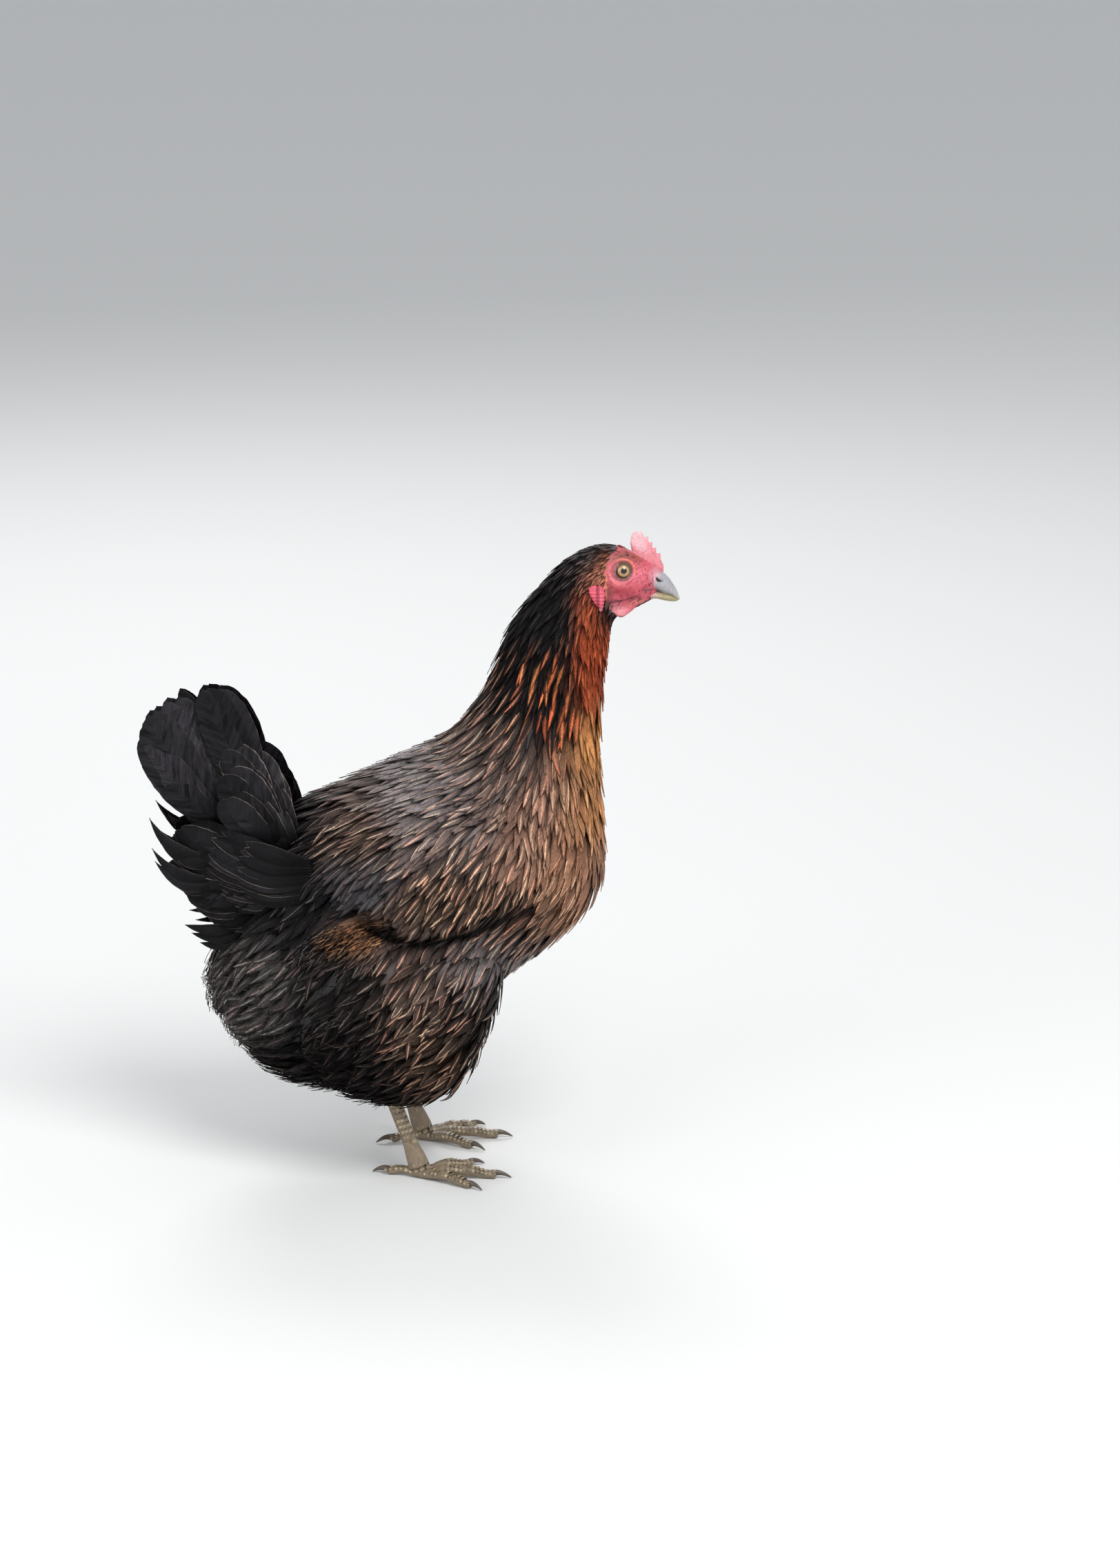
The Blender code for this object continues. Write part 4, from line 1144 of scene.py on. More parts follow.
@dataclass
class Coat:
    """Grows feathers on a pelt by the table of regions.

    Args:
        pelt: The pelt.
        others: Pelts that hide roots lying under them.
        cover: How many feathers lie over each point.
        rows: Rings of points along a feather.
        stray: Spread of the feathers' turns from the lie, in radians.
        height: Share of the coat's depth that it fills. The plain undercoat fills less.
        plume: 0 for vanes. Above 0, fine loose plumes of that width in millimetres, only where
            the coat is frayed.
    """

    pelt: Pelt
    others: tuple[Pelt, ...] = ()
    cover: float = 2.6
    rows: int = 10
    stray: float = 0.09
    height: float = 1.0
    plume: float = 0.0

    # Share of its length times its width that a vane covers.
    FILL = 0.62
    # Square millimetres of skin for each loose plume.
    PLUME_AREA = 14.0
    # How deep under another pelt's outer face a root is left out.
    HIDDEN = 0.006

    def roots(self) -> tuple[Array, Array]:
        """Row and column of each root, without those on the bare face or under another pelt."""
        pelt, random = self.pelt, self.pelt.random
        long, wide = PLUMAGE.read(pelt.skin.reshape(-1, 3), "long", "wide")
        each = self.PLUME_AREA + 0 * long if self.plume else long * wide * self.FILL / self.cover
        s, t = pelt.scatter(np.sqrt(each).reshape(pelt.rows, pelt.around) * MM)
        root = pelt.read(pelt.skin, s, t)
        keep = random.random(len(root)) > Body.bare(root) * 1.2
        if self.plume:
            keep &= random.random(len(root)) < ease(PLUMAGE.read(root, "loose")[0], 0.45, 0.95)
        for other in self.others:
            keep &= ~other.inside(root, self.HIDDEN)
        return s[keep], t[keep]

    def spines(self, s: Array, t: Array, long: Array) -> tuple[Array, Array]:
        """Middle lines of the feathers and their normals, (n, rows, 3). A line follows the skin,
        or the straight way where the coat is stiff or frayed, bows a little to one side, and
        rises from the skin to the coat's depth.

        Args:
            s, t: Roots.
            long: Wanted lengths.
        """
        pelt, random, share, n = self.pelt, self.pelt.random, stations(self.rows), len(s)
        loose, lift, stiff = PLUMAGE.read(pelt.read(pelt.skin, s, t), "loose", "lift", "stiff")
        turn = random.normal(0, self.stray * (1 + loose), n)
        long = long * self.stop_at_fold(pelt.trace(s, t, long, turn, 12)[0])
        spine, normal, depth = pelt.trace(s, t, long, turn, self.rows - 1)
        even = np.linspace(0, 1, self.rows)
        spine = self.respace(spine, even, share)
        normal = unit(self.respace(normal, even, share))
        way = unit(spine[:, 2] - spine[:, 0])[:, None]
        straight = spine[:, :1] + way * (share * long[:, None])[:, :, None]
        hold = np.clip(stiff + 0.3 * loose, 0, 1)[:, None, None]
        spine = spine * (1 - hold) + straight * hold
        bend = (random.normal(0, 0.035, n) * (1 + 1.5 * loose) * long)[:, None] * share**2
        spine = spine + unit(np.cross(normal, way)) * bend[:, :, None]
        rise = 0.12 + 0.88 * (0.4 * share + 0.6 * (1 - (1 - share) ** 2))
        own = self.height * (0.88 + 0.22 * random.random(n) * (1 + 1.2 * (self.plume > 0)))
        rise = rise * (lift * own)[:, None] * depth
        return spine + normal * rise[:, :, None], normal

    def grow(self) -> Feathers:
        """Feathers of the whole pelt. Ones that came out crumpled or far too long, or that hang
        over the wing's lower edge, are left out."""
        pelt, random, share = self.pelt, self.pelt.random, stations(self.rows)
        s, t = self.roots()
        n = len(s)
        long, wide, loose = PLUMAGE.read(pelt.read(pelt.skin, s, t), "long", "wide", "loose")
        chance = random.random(n)
        long = long * MM * (0.82 + 0.36 * random.random(n))
        wide = wide * MM * (0.8 + 0.34 * random.random(n))
        spine, normal = self.spines(s, t, long)
        visible = spine[:, -2]
        rim, point, shaft = PLUMAGE.read(visible, "rim", "point", "shaft")
        if self.plume:
            rim = rim * (random.random(n) < 0.12)
            half = np.repeat([self.plume / 2 * MM * (1 - 0.85 * share**2)], n, axis=0)
        else:
            rim = rim * (self.height == 1.0)
            half = outline(share, point) * (wide / 2)[:, None]
            half *= 1 - (0.05 + loose * 0.45)[:, None] * random.random((n, self.rows))
        lace = PLUMAGE.tint(visible, "lace") * (0.6 + 0.65 * random.random((n, 1)))
        lace[:, 1:] *= 0.75 + 0.45 * random.random((n, 1))
        shaft = np.where(random.random(n) < shaft, 1.0, 0.0)
        coat = Feathers(spine, normal, half, pelt.unwrap(s, t), PLUMAGE.tint(visible, "ground"),
                        lace, rim, chance, loose, shaft)
        chord = np.linalg.norm(spine[:, -1] - spine[:, 0], axis=1)
        fits = chord > 0.84 * np.linalg.norm(np.diff(spine, axis=1), axis=2).sum(axis=1)
        fits &= chord < 1.8 * MM * PLUMAGE.read(visible, "long")[0]
        fits &= ~self.hangs(spine[:, 0], spine[:, -1])
        return coat.pick(fits)

    @staticmethod
    def hangs(root: Array, tip: Array) -> Array:
        """Whether a feather rooted on the wing still hangs over its lower edge."""
        return (over_fold(root) > 0.001) & (over_fold(tip) < -0.004) & beside_fold(tip)

    @staticmethod
    def stop_at_fold(line: Array) -> Array:
        """Share of its length that a feather keeps, so that one rooted above the wing's lower
        edge ends at it and doesn't hang over the flank."""
        height, steps = over_fold(line), line.shape[1] - 1
        past = (height < 0) & beside_fold(line) & (height[:, :1] > 0.001)
        first = np.where(past.any(axis=1), past.argmax(axis=1), steps)
        return np.maximum(first / steps, 0.3)

    @staticmethod
    def respace(lines: Array, given: Array, wanted: Array) -> Array:
        """Lines read again at other shares of their length, straight between the given ones."""
        at = np.interp(wanted, given, np.arange(len(given)))
        low = np.minimum(at.astype(int), len(given) - 2)
        f = (at - low)[None, :, None]
        return lines[:, low] * (1 - f) + lines[:, low + 1] * f


# Tail --------------------------


@dataclass(frozen=True)
class Fan:
    """A layer of large tail feathers on one side, whose tips follow a curve.

    Args:
        name: Which layer it is.
        tips: x and z of places that the curve of the tips passes through.
        roots: x and z of the first and the last feather's root.
        out: Distances of the roots, the first tip and the last tip from the mid-plane, in mm.
        count: Number of feathers.
        wide: Their width, in millimetres.
        rim: Width of the edge's colour, in millimetres.
        bow: Bow as a share of the length.
        point: -0.25 for a broad round tip to 1 for a pointed one.
        tone: How much lighter than black its vanes are: painted sheen.
    """

    name: str
    tips: tuple[tuple[float, float], ...]
    roots: tuple[tuple[float, float], tuple[float, float]]
    out: tuple[float, float, float]
    count: int
    wide: float
    rim: float = 0.2
    bow: float = -0.03
    point: float = -0.25
    tone: float = 1.0


FANS = (
    Fan("odd blade", ((-0.1594, 0.349), (-0.1594, 0.349)),
        ((-0.11, 0.246), (-0.11, 0.246)), (16, 2, 2), 1, 18),
    Fan("rear blades", ((-0.156, 0.3425), (-0.165, 0.343), (-0.1765, 0.3365), (-0.1845, 0.3272),
                        (-0.1865, 0.3174), (-0.1845, 0.308), (-0.1785, 0.3)),
        ((-0.108, 0.246), (-0.122, 0.246)), (16, 4, 14), 10, 28, 0.12, 0.03, tone=2.3),
    Fan("front blades", ((-0.1475, 0.345), (-0.144, 0.3495), (-0.1377, 0.351),
                         (-0.13, 0.3475), (-0.1258, 0.3355), (-0.123, 0.323),
                         (-0.1183, 0.31), (-0.113, 0.299)),
        ((-0.106, 0.246), (-0.096, 0.246)), (20, 8, 3), 9, 27, 0.12, tone=1.3),
    Fan("upper coverts", ((-0.1299, 0.308), (-0.1221, 0.313), (-0.1125, 0.31),
                          (-0.1048, 0.2985), (-0.1005, 0.286)),
        ((-0.092, 0.244), (-0.082, 0.244)), (26, 19, 10), 6, 25, 0.8, tone=1.9),
    Fan("middle coverts", ((-0.1318, 0.292), (-0.1221, 0.298), (-0.1117, 0.295),
                           (-0.1012, 0.285)),
        ((-0.09, 0.242), (-0.079, 0.242)), (31, 25, 20), 5, 25, 0.7, tone=1.9),
    Fan("lower coverts", ((-0.1327, 0.2745), (-0.1221, 0.28), (-0.1104, 0.277),
                          (-0.099, 0.268)),
        ((-0.088, 0.24), (-0.078, 0.24)), (37, 31, 27), 7, 21, 0.55, -0.03, 0.0, 1.7),
    Fan("under blades", ((-0.15, 0.256), (-0.162, 0.252), (-0.168, 0.2435),
                         (-0.1695, 0.2301), (-0.1645, 0.2166), (-0.1575, 0.2032),
                         (-0.1485, 0.1921), (-0.1389, 0.1854)),
        ((-0.09, 0.242), (-0.088, 0.205)), (44, 20, 14), 12, 21, 0.5, 0.05, 0.1),
    Fan("side coverts", ((-0.132, 0.256), (-0.14, 0.244), (-0.142, 0.23),
                         (-0.138, 0.215), (-0.13, 0.202)),
        ((-0.076, 0.24), (-0.074, 0.212)), (53, 36, 31), 15, 13, 0.5, 0.03, 0.45, 1.3),
    Fan("hip coverts", ((-0.113, 0.25), (-0.119, 0.237), (-0.119, 0.223), (-0.113, 0.21)),
        ((-0.066, 0.242), (-0.062, 0.216)), (63, 50, 47), 15, 11, 0.5, 0.02, 0.5, 1.4),
    Fan("upper sickles", ((-0.1805, 0.2615), (-0.1785, 0.256), (-0.175, 0.251)),
        ((-0.129, 0.236), (-0.127, 0.232)), (30, 24, 26), 3, 10, 0.3, 0.2, 0.9),
    Fan("lower sickles", ((-0.1812, 0.2392), (-0.178, 0.233), (-0.1735, 0.227)),
        ((-0.129, 0.222), (-0.127, 0.218)), (32, 25, 27), 3, 10, 0.3, 0.19, 0.9),
    Fan("vent tuft", ((-0.16, 0.1825), (-0.156, 0.175), (-0.15, 0.169)),
        ((-0.112, 0.187), (-0.11, 0.18)), (26, 18, 14), 3, 9, 0.5, 0.1, 0.7),
)


@dataclass
class Tail:
    """The large feathers of one side of the tail, layer by layer."""

    side: float
    salt: int
    rows: int = 22

    def grow(self) -> Feathers:
        """Feathers of all the layers."""
        random = np.random.default_rng(self.salt)
        return join([self.layer(fan, random) for fan in FANS])

    def layer(self, fan: Fan, random: np.random.Generator) -> Feathers:
        """Lays each feather from root to tip along r + d s + p b 4 s (1 - s), where d is the way
        to the tip, p lies square to it in the side's plane, and b is the bow."""
        n = fan.count
        share, place = stations(self.rows), np.linspace(0, 1, n)[:, None]
        tips = catmull(fan.tips, n) + random.normal(0, 0.9 * MM, (n, 2))
        start = np.array(fan.roots[0]) * (1 - place) + np.array(fan.roots[1]) * place
        out = np.array(fan.out) * MM * self.side
        root = np.stack([start[:, 0], np.full(n, out[0]), start[:, 1]], axis=1)
        away = out[1] + (out[2] - out[1]) * place[:, 0] + random.normal(0, 0.5 * MM, n)
        tip = np.stack([tips[:, 0], away, tips[:, 1]], axis=1)
        run = tip - root
        square = np.stack([-run[:, 2], np.zeros(n), run[:, 0]], axis=1)
        bow = fan.bow + random.normal(0, 0.012, n)
        bend = (bow[:, None] * 4 * share * (1 - share))[:, :, None]
        spine = root[:, None] + run[:, None] * share[:, None] + square[:, None] * bend
        spine[:, :, 1] += self.side * 0.006 * np.sin(math.pi * share)
        tilt = 0.3 * ease(0.3 - tip[:, 2], 0, 0.1) + random.normal(0, 0.06, n)
        normal = unit(np.stack([random.normal(0, 0.06, n), np.full(n, self.side), tilt], axis=1))
        normal = np.repeat(normal[:, None], self.rows, axis=1)
        half = outline(share, np.full(n, fan.point), 0.66 - 0.2 * max(fan.point, 0))
        half *= fan.wide / 2 * MM * (0.88 + 0.2 * random.random((n, 1)))
        half *= 1 - 0.07 * random.random((n, self.rows)) * ease(share, 0.3, 0.9)
        u = 0.05 + 0.9 * np.clip((root[:, 0] + 0.14) / 0.08, 0, 1)
        v = 0.5 + self.side * (0.05 + 0.4 * np.clip((0.26 - root[:, 2]) / 0.08, 0, 1))
        # Black vanes lightened by the layer's tone: painted sheen.
        ground = Tint.BLACK.over(tips) * (0.5 + random.random((n, 1))) * fan.tone
        lace = Tint.DUN.over(tips) * (0.5 + 0.8 * random.random((n, 1)))
        return Feathers(spine, normal, half, np.stack([u, v], axis=1), ground, lace,
                        np.full(n, fan.rim), random.random(n), np.full(n, 0.2), np.zeros(n))


# Skin --------------------------


def closed_loft(name: str, grid: Array) -> bpy.types.Object:
    """A closed mesh over a grid that is open along its length and closed around. Its ends close
    on the middles of the end rings, and its faces turn outwards."""
    points = np.vstack([grid.reshape(-1, 3), grid[0].mean(axis=0), grid[-1].mean(axis=0)])
    quads, tris = loft_faces(*grid.shape[:2])
    a, b, c, d = (points[quads[:, n]] for n in range(4))
    e, f, g = (points[tris[:, n]] for n in range(3))
    volume = ((a * np.cross(b, c)).sum() + (a * np.cross(c, d)).sum() + (e * np.cross(f, g)).sum())
    if volume < 0:
        quads, tris = quads[:, ::-1], tris[:, ::-1]
    return mesh_of(name, points, [quads, tris])


def merge(name: str, parts: list[bpy.types.Object]) -> bpy.types.Object:
    """Joins objects into the first one, under a new name."""
    for part in bpy.context.selected_objects:
        part.select_set(False)
    for part in parts:
        part.select_set(True)
    bpy.context.view_layer.objects.active = parts[0]
    bpy.ops.object.join()
    parts[0].name = name
    return parts[0]


def apply_modifiers(obj: bpy.types.Object) -> None:
    """Replaces an object's mesh by the one that its modifiers give."""
    evaluated = obj.evaluated_get(bpy.context.evaluated_depsgraph_get())
    mesh = bpy.data.meshes.new_from_object(evaluated)
    obj.modifiers.clear()
    old, obj.data = obj.data, mesh
    bpy.data.meshes.remove(old)


def remeshed(obj: bpy.types.Object, voxel: float) -> bpy.types.Object:
    """Melts an object's overlapping closed shells into one."""
    melt = obj.modifiers.new("melt", "REMESH")
    melt.mode, melt.voxel_size, melt.use_smooth_shade = "VOXEL", voxel, True
    apply_modifiers(obj)
    return obj


def united(obj: bpy.types.Object, other: bpy.types.Object) -> bpy.types.Object:
    """Cuts two closed surfaces where they cross and keeps the outside of both as one."""
    cut = obj.modifiers.new("unite", "BOOLEAN")
    cut.operation, cut.solver, cut.object = "UNION", "MANIFOLD", other
    apply_modifiers(obj)
    bpy.data.objects.remove(other, do_unlink=True)
    return obj


def vertices_of(mesh: bpy.types.Mesh) -> tuple[Array, Array]:
    """A mesh's points and their normals."""
    points, normals = (np.zeros(len(mesh.vertices) * 3, np.float32) for _ in range(2))
    mesh.vertices.foreach_get("co", points)
    mesh.vertex_normals.foreach_get("vector", normals)
    return points.reshape(-1, 3).astype(float), normals.reshape(-1, 3).astype(float)


def tube(path: Array, high: Array, wide: Array, up: Array, around: int) -> Array:
    """Rings along a path.

    Args:
        path: Middles of the rings, (n, 3).
        high, wide: Half sizes of each ring along up and across it, (n,).
        up: Which way is up, (3,).
        around: Points of a ring.

    Returns:
        The grid: middle + up high cos(turn) + across wide sin(turn).
    """
    run = unit(np.gradient(path, axis=0))
    across = unit(np.cross(run, np.broadcast_to(up, run.shape)))
    top = np.cross(across, run)
    turn = round_turn(around)[None, :, None]
    return (path[:, None] + top[:, None] * high[:, None, None] * np.cos(turn)
            + across[:, None] * wide[:, None, None] * np.sin(turn))


# Middle of the left eye. The right one mirrors it.
EYE = (0.1501, 0.0112, 0.4371)
EYE_RADIUS = 7.2 * MM


@dataclass
class Head:
    """The bare head: face, comb, wattles and earlobes melted into one closed surface, whose lids,
    folds and small bumps are then raised and sunk along its normals."""

    body: Body
    voxel: float = 0.48 * MM
    # Station of the body at which the head's own skin starts, and points of its grid.
    first: int = 17
    rows: int = 150
    around: int = 160
    # Comb: upper x and z, lower x and z, half thickness in millimetres, from back to front.
    comb: tuple[tuple[float, ...], ...] = (
        (0.1566, 0.449, 0.158, 0.444, 0.6),
        (0.1556, 0.4545, 0.1592, 0.4435, 1.2),
        (0.157, 0.4608, 0.161, 0.4428, 1.5),
        (0.1602, 0.4625, 0.1628, 0.442, 1.6),
        (0.1636, 0.4616, 0.1645, 0.4411, 1.6),
        (0.165, 0.4584, 0.166, 0.4404, 1.6),
        (0.1678, 0.4588, 0.1675, 0.4396, 1.6),
        (0.1683, 0.4548, 0.1688, 0.4388, 1.6),
        (0.1707, 0.4546, 0.17, 0.4381, 1.6),
        (0.1709, 0.4505, 0.1712, 0.4374, 1.6),
        (0.1734, 0.4508, 0.1725, 0.4366, 1.6),
        (0.1736, 0.4468, 0.1737, 0.4358, 1.6),
        (0.1764, 0.4469, 0.175, 0.4349, 1.5),
        (0.1768, 0.4425, 0.1765, 0.4339, 1.4),
        (0.1785, 0.4392, 0.178, 0.433, 1.0),
        (0.179, 0.4365, 0.1785, 0.4325, 0.5),
    )
    # Earlobe and wattle: height, back x, front x, middle y, half thickness in millimetres.
    earlobe: tuple[tuple[float, ...], ...] = (
        (0.4284, 0.13, 0.133, 0.0205, 0.8),
        (0.427, 0.1268, 0.1366, 0.0212, 2.0),
        (0.4235, 0.1266, 0.1376, 0.022, 2.5),
        (0.419, 0.1288, 0.1374, 0.0224, 2.5),
        (0.4145, 0.1313, 0.1368, 0.0222, 2.1),
        (0.4112, 0.133, 0.136, 0.0216, 1.4),
        (0.4096, 0.1341, 0.1352, 0.0212, 0.6),
    )
    wattle: tuple[tuple[float, ...], ...] = (
        (0.418, 0.144, 0.162, 0.0105, 1.2),
        (0.414, 0.1412, 0.161, 0.0108, 1.9),
        (0.41, 0.1416, 0.1585, 0.0108, 1.9),
        (0.4068, 0.1438, 0.1552, 0.0104, 1.8),
        (0.4045, 0.146, 0.1522, 0.0098, 1.4),
        (0.4032, 0.148, 0.15, 0.0094, 0.6),
    )

    def build(self) -> bpy.types.Object:
        """The head's closed surface."""
        table = catmull(self.body.stations[self.first:], self.rows)
        grid = section_grid(table, self.around)
        depth = catmull(np.array(self.body.depths)[self.first:, None], self.rows) * MM
        middle = grid.mean(axis=1, keepdims=True)
        start = ease(np.linspace(0, 6, self.rows), 0.0, 0.9)
        grid = middle + (grid - middle) * (0.8 + 0.2 * start)[:, None, None]
        grid = grid - unit(grid - middle) * np.maximum(depth, 0)[:, :, None]
        parts = [closed_loft("head_shell", grid), self.comb_shell()]
        for side, _ in SIDES:
            parts.append(self.lobe_shell(self.earlobe, side))
            parts.append(self.lobe_shell(self.wattle, side))
        head = remeshed(merge("head", parts), self.voxel)
        self.sculpt(head.data)
        return head

    def comb_shell(self) -> bpy.types.Object:
        """The comb: each row is an upright section, thick at its foot and thin at its crest."""
        table = catmull(self.comb, 110)
        turn = round_turn(36)
        rise = (1 + np.cos(turn)) / 2
        x_up, z_up, x_low, z_low, thick = table.T[:, :, None]
        x = x_low + (x_up - x_low) * rise
        z = z_low + (z_up - z_low) * rise
        foot = 1 + 0.9 * (1 - rise) ** 2
        y = thick * MM * power(np.sin(turn), 0.7) * foot
        return closed_loft("comb_shell", np.stack([x, y, z], axis=2))

    @staticmethod
    def lobe_shell(rows: tuple[tuple[float, ...], ...], side: float) -> bpy.types.Object:
        """A hanging lobe: each row is a level oval."""
        table = catmull(rows, 40)
        turn = round_turn(40)
        height, back, front, middle, thick = table.T[:, :, None]
        x = (back + front) / 2 + (front - back) / 2 * np.cos(turn)
        y = side * (middle + thick * MM * np.sin(turn))
        return closed_loft("lobe_shell", np.stack([x, y, height + 0 * x], axis=2))

    @staticmethod
    def eye_place(points: Array) -> tuple[Array, Array]:
        """Distance from the eye's middle in millimetres and bearing round it, seen from the
        side. The oval of the lids is a little longer than tall and tips down to the front."""
        dx, dz = points[:, 0] - EYE[0], points[:, 2] - EYE[2]
        u, v = dx * 0.966 - dz * 0.259, dx * 0.259 + dz * 0.966
        return np.hypot(u * 0.97, v * 1.05) / MM, np.arctan2(dz, dx)

    def sculpt(self, mesh: bpy.types.Mesh) -> None:
        """Moves the surface along its normals, in millimetres: a hole for the eyeball, the lid's
        edge, the trough round it and its outer rim, wrinkles, the cheek's fold, the mouth's
        corner, the earlobe's fold, and bumps all over."""
        points, normal = vertices_of(mesh)
        x, y, z = points.T
        r, phi = self.eye_place(points)
        flank = ease(np.abs(y), 0.009, 0.012)
        face = Body.bare(points)
        move = -4.2 * (1 - ease(r, 3.95, 4.5))
        move += 0.55 * bell(r, 4.75, 0.45) - 0.65 * bell(r, 6.7, 0.75)
        move += 0.5 * bell(r, 8.3, 0.8) * (0.65 + 0.35 * np.cos(phi - 0.9))
        move += 0.35 * bell(r, 9.6, 0.9) * np.maximum(np.cos(phi - 3.6), 0)
        wrinkle = np.sin(r * 7.5 + 1.6 * np.sin(phi * 5)) + 0.6 * np.sin(phi * 21 + r)
        move += 0.1 * wrinkle * bell(r, 5.9, 0.9)
        move *= flank
        fold = z - (0.4155 + 0.16 * (x - 0.148) + 14.0 * np.maximum(x - 0.15, 0) ** 2)
        span = ease(x, 0.1385, 0.142) * (1 - ease(x, 0.16, 0.165)) * flank
        move += (-0.8 * bell(fold, 0, 0.0008) + 0.5 * bell(fold, 0.002, 0.0012)) * span
        mouth = z - (0.4228 - 0.1 * (x - 0.165))
        move += -0.7 * bell(mouth, 0, 0.0006) * ease(x, 0.161, 0.165)
        crest = z - (0.4475 - 0.45 * (x - 0.15))
        move += 0.4 * bell(crest, 0, 0.0018) * bell(x, 0.156, 0.007) * flank
        lobe = self.earlobe_share(points)
        move += lobe * (-1.1 * bell(x, 0.1326, 0.001) + 0.3 * np.sin(z * 2600))
        skin = np.maximum(face, lobe) * ease(r, 4.6, 5.6)
        move += skin * (0.34 * (pebbles(points, 1.5 * MM) - 0.45)
                        + 0.22 * (pebbles(points, 0.8 * MM, 5.0) - 0.45))
        points += normal * (move * MM)[:, None]
        mesh.vertices.foreach_set("co", points.astype(np.float32).ravel())
        mesh.update()

    @staticmethod
    def earlobe_share(points: Array) -> Array:
        """1 on the earlobes."""
        shape = ((0.1262, 0.429), (0.138, 0.429), (0.138, 0.419), (0.1362, 0.4092),
                 (0.1335, 0.4085), (0.1295, 0.417), (0.1262, 0.424))
        return within(points[:, [0, 2]], shape, MM) * ease(np.abs(points[:, 1]), 0.0195, 0.0205)

    # Dabs of colour on the face: name, x, z, reach in x and in z, colour.
    DABS = (
        ("brow", 0.1605, 0.445, 0.006, 0.004, (0.29, 0.06, 0.05)),
        ("temple", 0.1365, 0.4455, 0.006, 0.0045, (0.31, 0.08, 0.055)),
        ("front", 0.162, 0.4335, 0.006, 0.0055, (0.68, 0.15, 0.2)),
        ("under the eye", 0.15, 0.4275, 0.007, 0.0018, (0.56, 0.12, 0.135)),
        ("cheek", 0.149, 0.4235, 0.0085, 0.0034, (0.31, 0.024, 0.038)),
        ("rear cheek", 0.141, 0.423, 0.0025, 0.006, (0.22, 0.035, 0.03)),
        ("behind the jaw", 0.14, 0.412, 0.0022, 0.005, (0.03, 0.012, 0.011)),
        ("lower cheek", 0.156, 0.4195, 0.006, 0.0024, (0.32, 0.028, 0.055)),
        # Painted shade in the groove of the cheek's fold above the wattle.
        ("fold", 0.145, 0.4165, 0.0065, 0.0012, (0.13, 0.02, 0.034)),
        ("top", 0.15, 0.4468, 0.009, 0.0036, (0.2, 0.06, 0.048)),
        # Painted shade in the fold's groove, carried forward.
        ("front of the fold", 0.157, 0.418, 0.004, 0.0013, (0.17, 0.024, 0.042)),
        ("under the fold", 0.143, 0.413, 0.0036, 0.0018, (0.24, 0.06, 0.075)),
        ("wattle", 0.148, 0.4075, 0.007, 0.0042, (0.8, 0.3, 0.33)),
        ("jaw", 0.161, 0.4145, 0.0065, 0.0018, (0.6, 0.15, 0.135)),
        ("root of the bill", 0.1735, 0.432, 0.0042, 0.005, (0.62, 0.3, 0.35)),
        ("corner of the mouth", 0.168, 0.4225, 0.004, 0.0011, (0.21, 0.07, 0.1)),
    )

    @classmethod
    def tint(cls, points: Array) -> Array:
        """Colours of the bare skin: the dabs over a crimson ground, two of them painted shade in
        the cheek's fold, then the lids with painted highlight on the upper front of their rim, comb
        and earlobes, all mottled."""
        x, y, z = points.T
        r, phi = cls.eye_place(points)
        flank = ease(np.abs(y), 0.009, 0.012)
        height = z - (0.4462 - 0.571 * (x - 0.1575))
        on_comb = (ease(height, 0.0, 0.003) * ease(x, 0.152, 0.155)
                   * (1 - ease(np.abs(y), 0.003, 0.005)))
        lobe = cls.earlobe_share(points)

        def toward(bearing: float) -> Array:
            """1 on the given bearing from the eye's middle, 0 from a quarter turn away."""
            return np.maximum(np.cos(phi - bearing), 0)

        colour = laid_over(
            Tint.CRIMSON.over(points),
            *((bell(x, dx, rx) * bell(z, dz, rz), tint) for _, dx, dz, rx, rz, tint in cls.DABS),
            # Rims of the lids, on their upper front side coral with painted highlight, the lids,
            # and their dark edge and corner.
            (0.85 * bell(r, 8.7, 0.9) * toward(0.95) * flank, (0.76, 0.17, 0.13)),
            (0.8 * bell(r, 9.3, 1.1) * toward(3.7) ** 2 * flank, (0.74, 0.22, 0.22)),
            (0.93 * (1 - ease(r, 6.6, 7.6)) * flank, (0.23, 0.08, 0.08)),
            (0.8 * bell(r, 5.6, 0.35) * flank, (0.25, 0.085, 0.08)),
            (0.85 * (1 - ease(r, 4.5, 5.0)) * flank, (0.045, 0.018, 0.015)),
            (0.85 * bell(r, 5.6, 0.9) * toward(0.75) ** 3 * flank, (0.05, 0.014, 0.01)),
            (0.45 * bell(r, 6.0, 0.5) * (0.5 + 0.5 * np.sin(phi * 9 + 2)) * flank,
             (0.42, 0.23, 0.23)),
            # Comb, paler at its crest.
            (on_comb, (0.62, 0.2, 0.23)),
            (0.8 * on_comb * ease(height, 0.003, 0.009) * ease(0.172 - x, 0, 0.01),
             (0.72, 0.44, 0.47)),
            # Earlobes, dark in their fold and paler at the foot.
            (lobe, (0.6, 0.085, 0.135)),
            (0.85 * lobe * bell(x, 0.1326, 0.0013), (0.23, 0.016, 0.03)),
            (0.7 * lobe * (1 - ease(z, 0.4105, 0.4145)), (0.56, 0.21, 0.22)))
        mottle = 0.72 + 0.3 * grain(points, 1.1 * MM) + 0.26 * pebbles(points, 1.5 * MM)
        return colour * mottle[:, None]


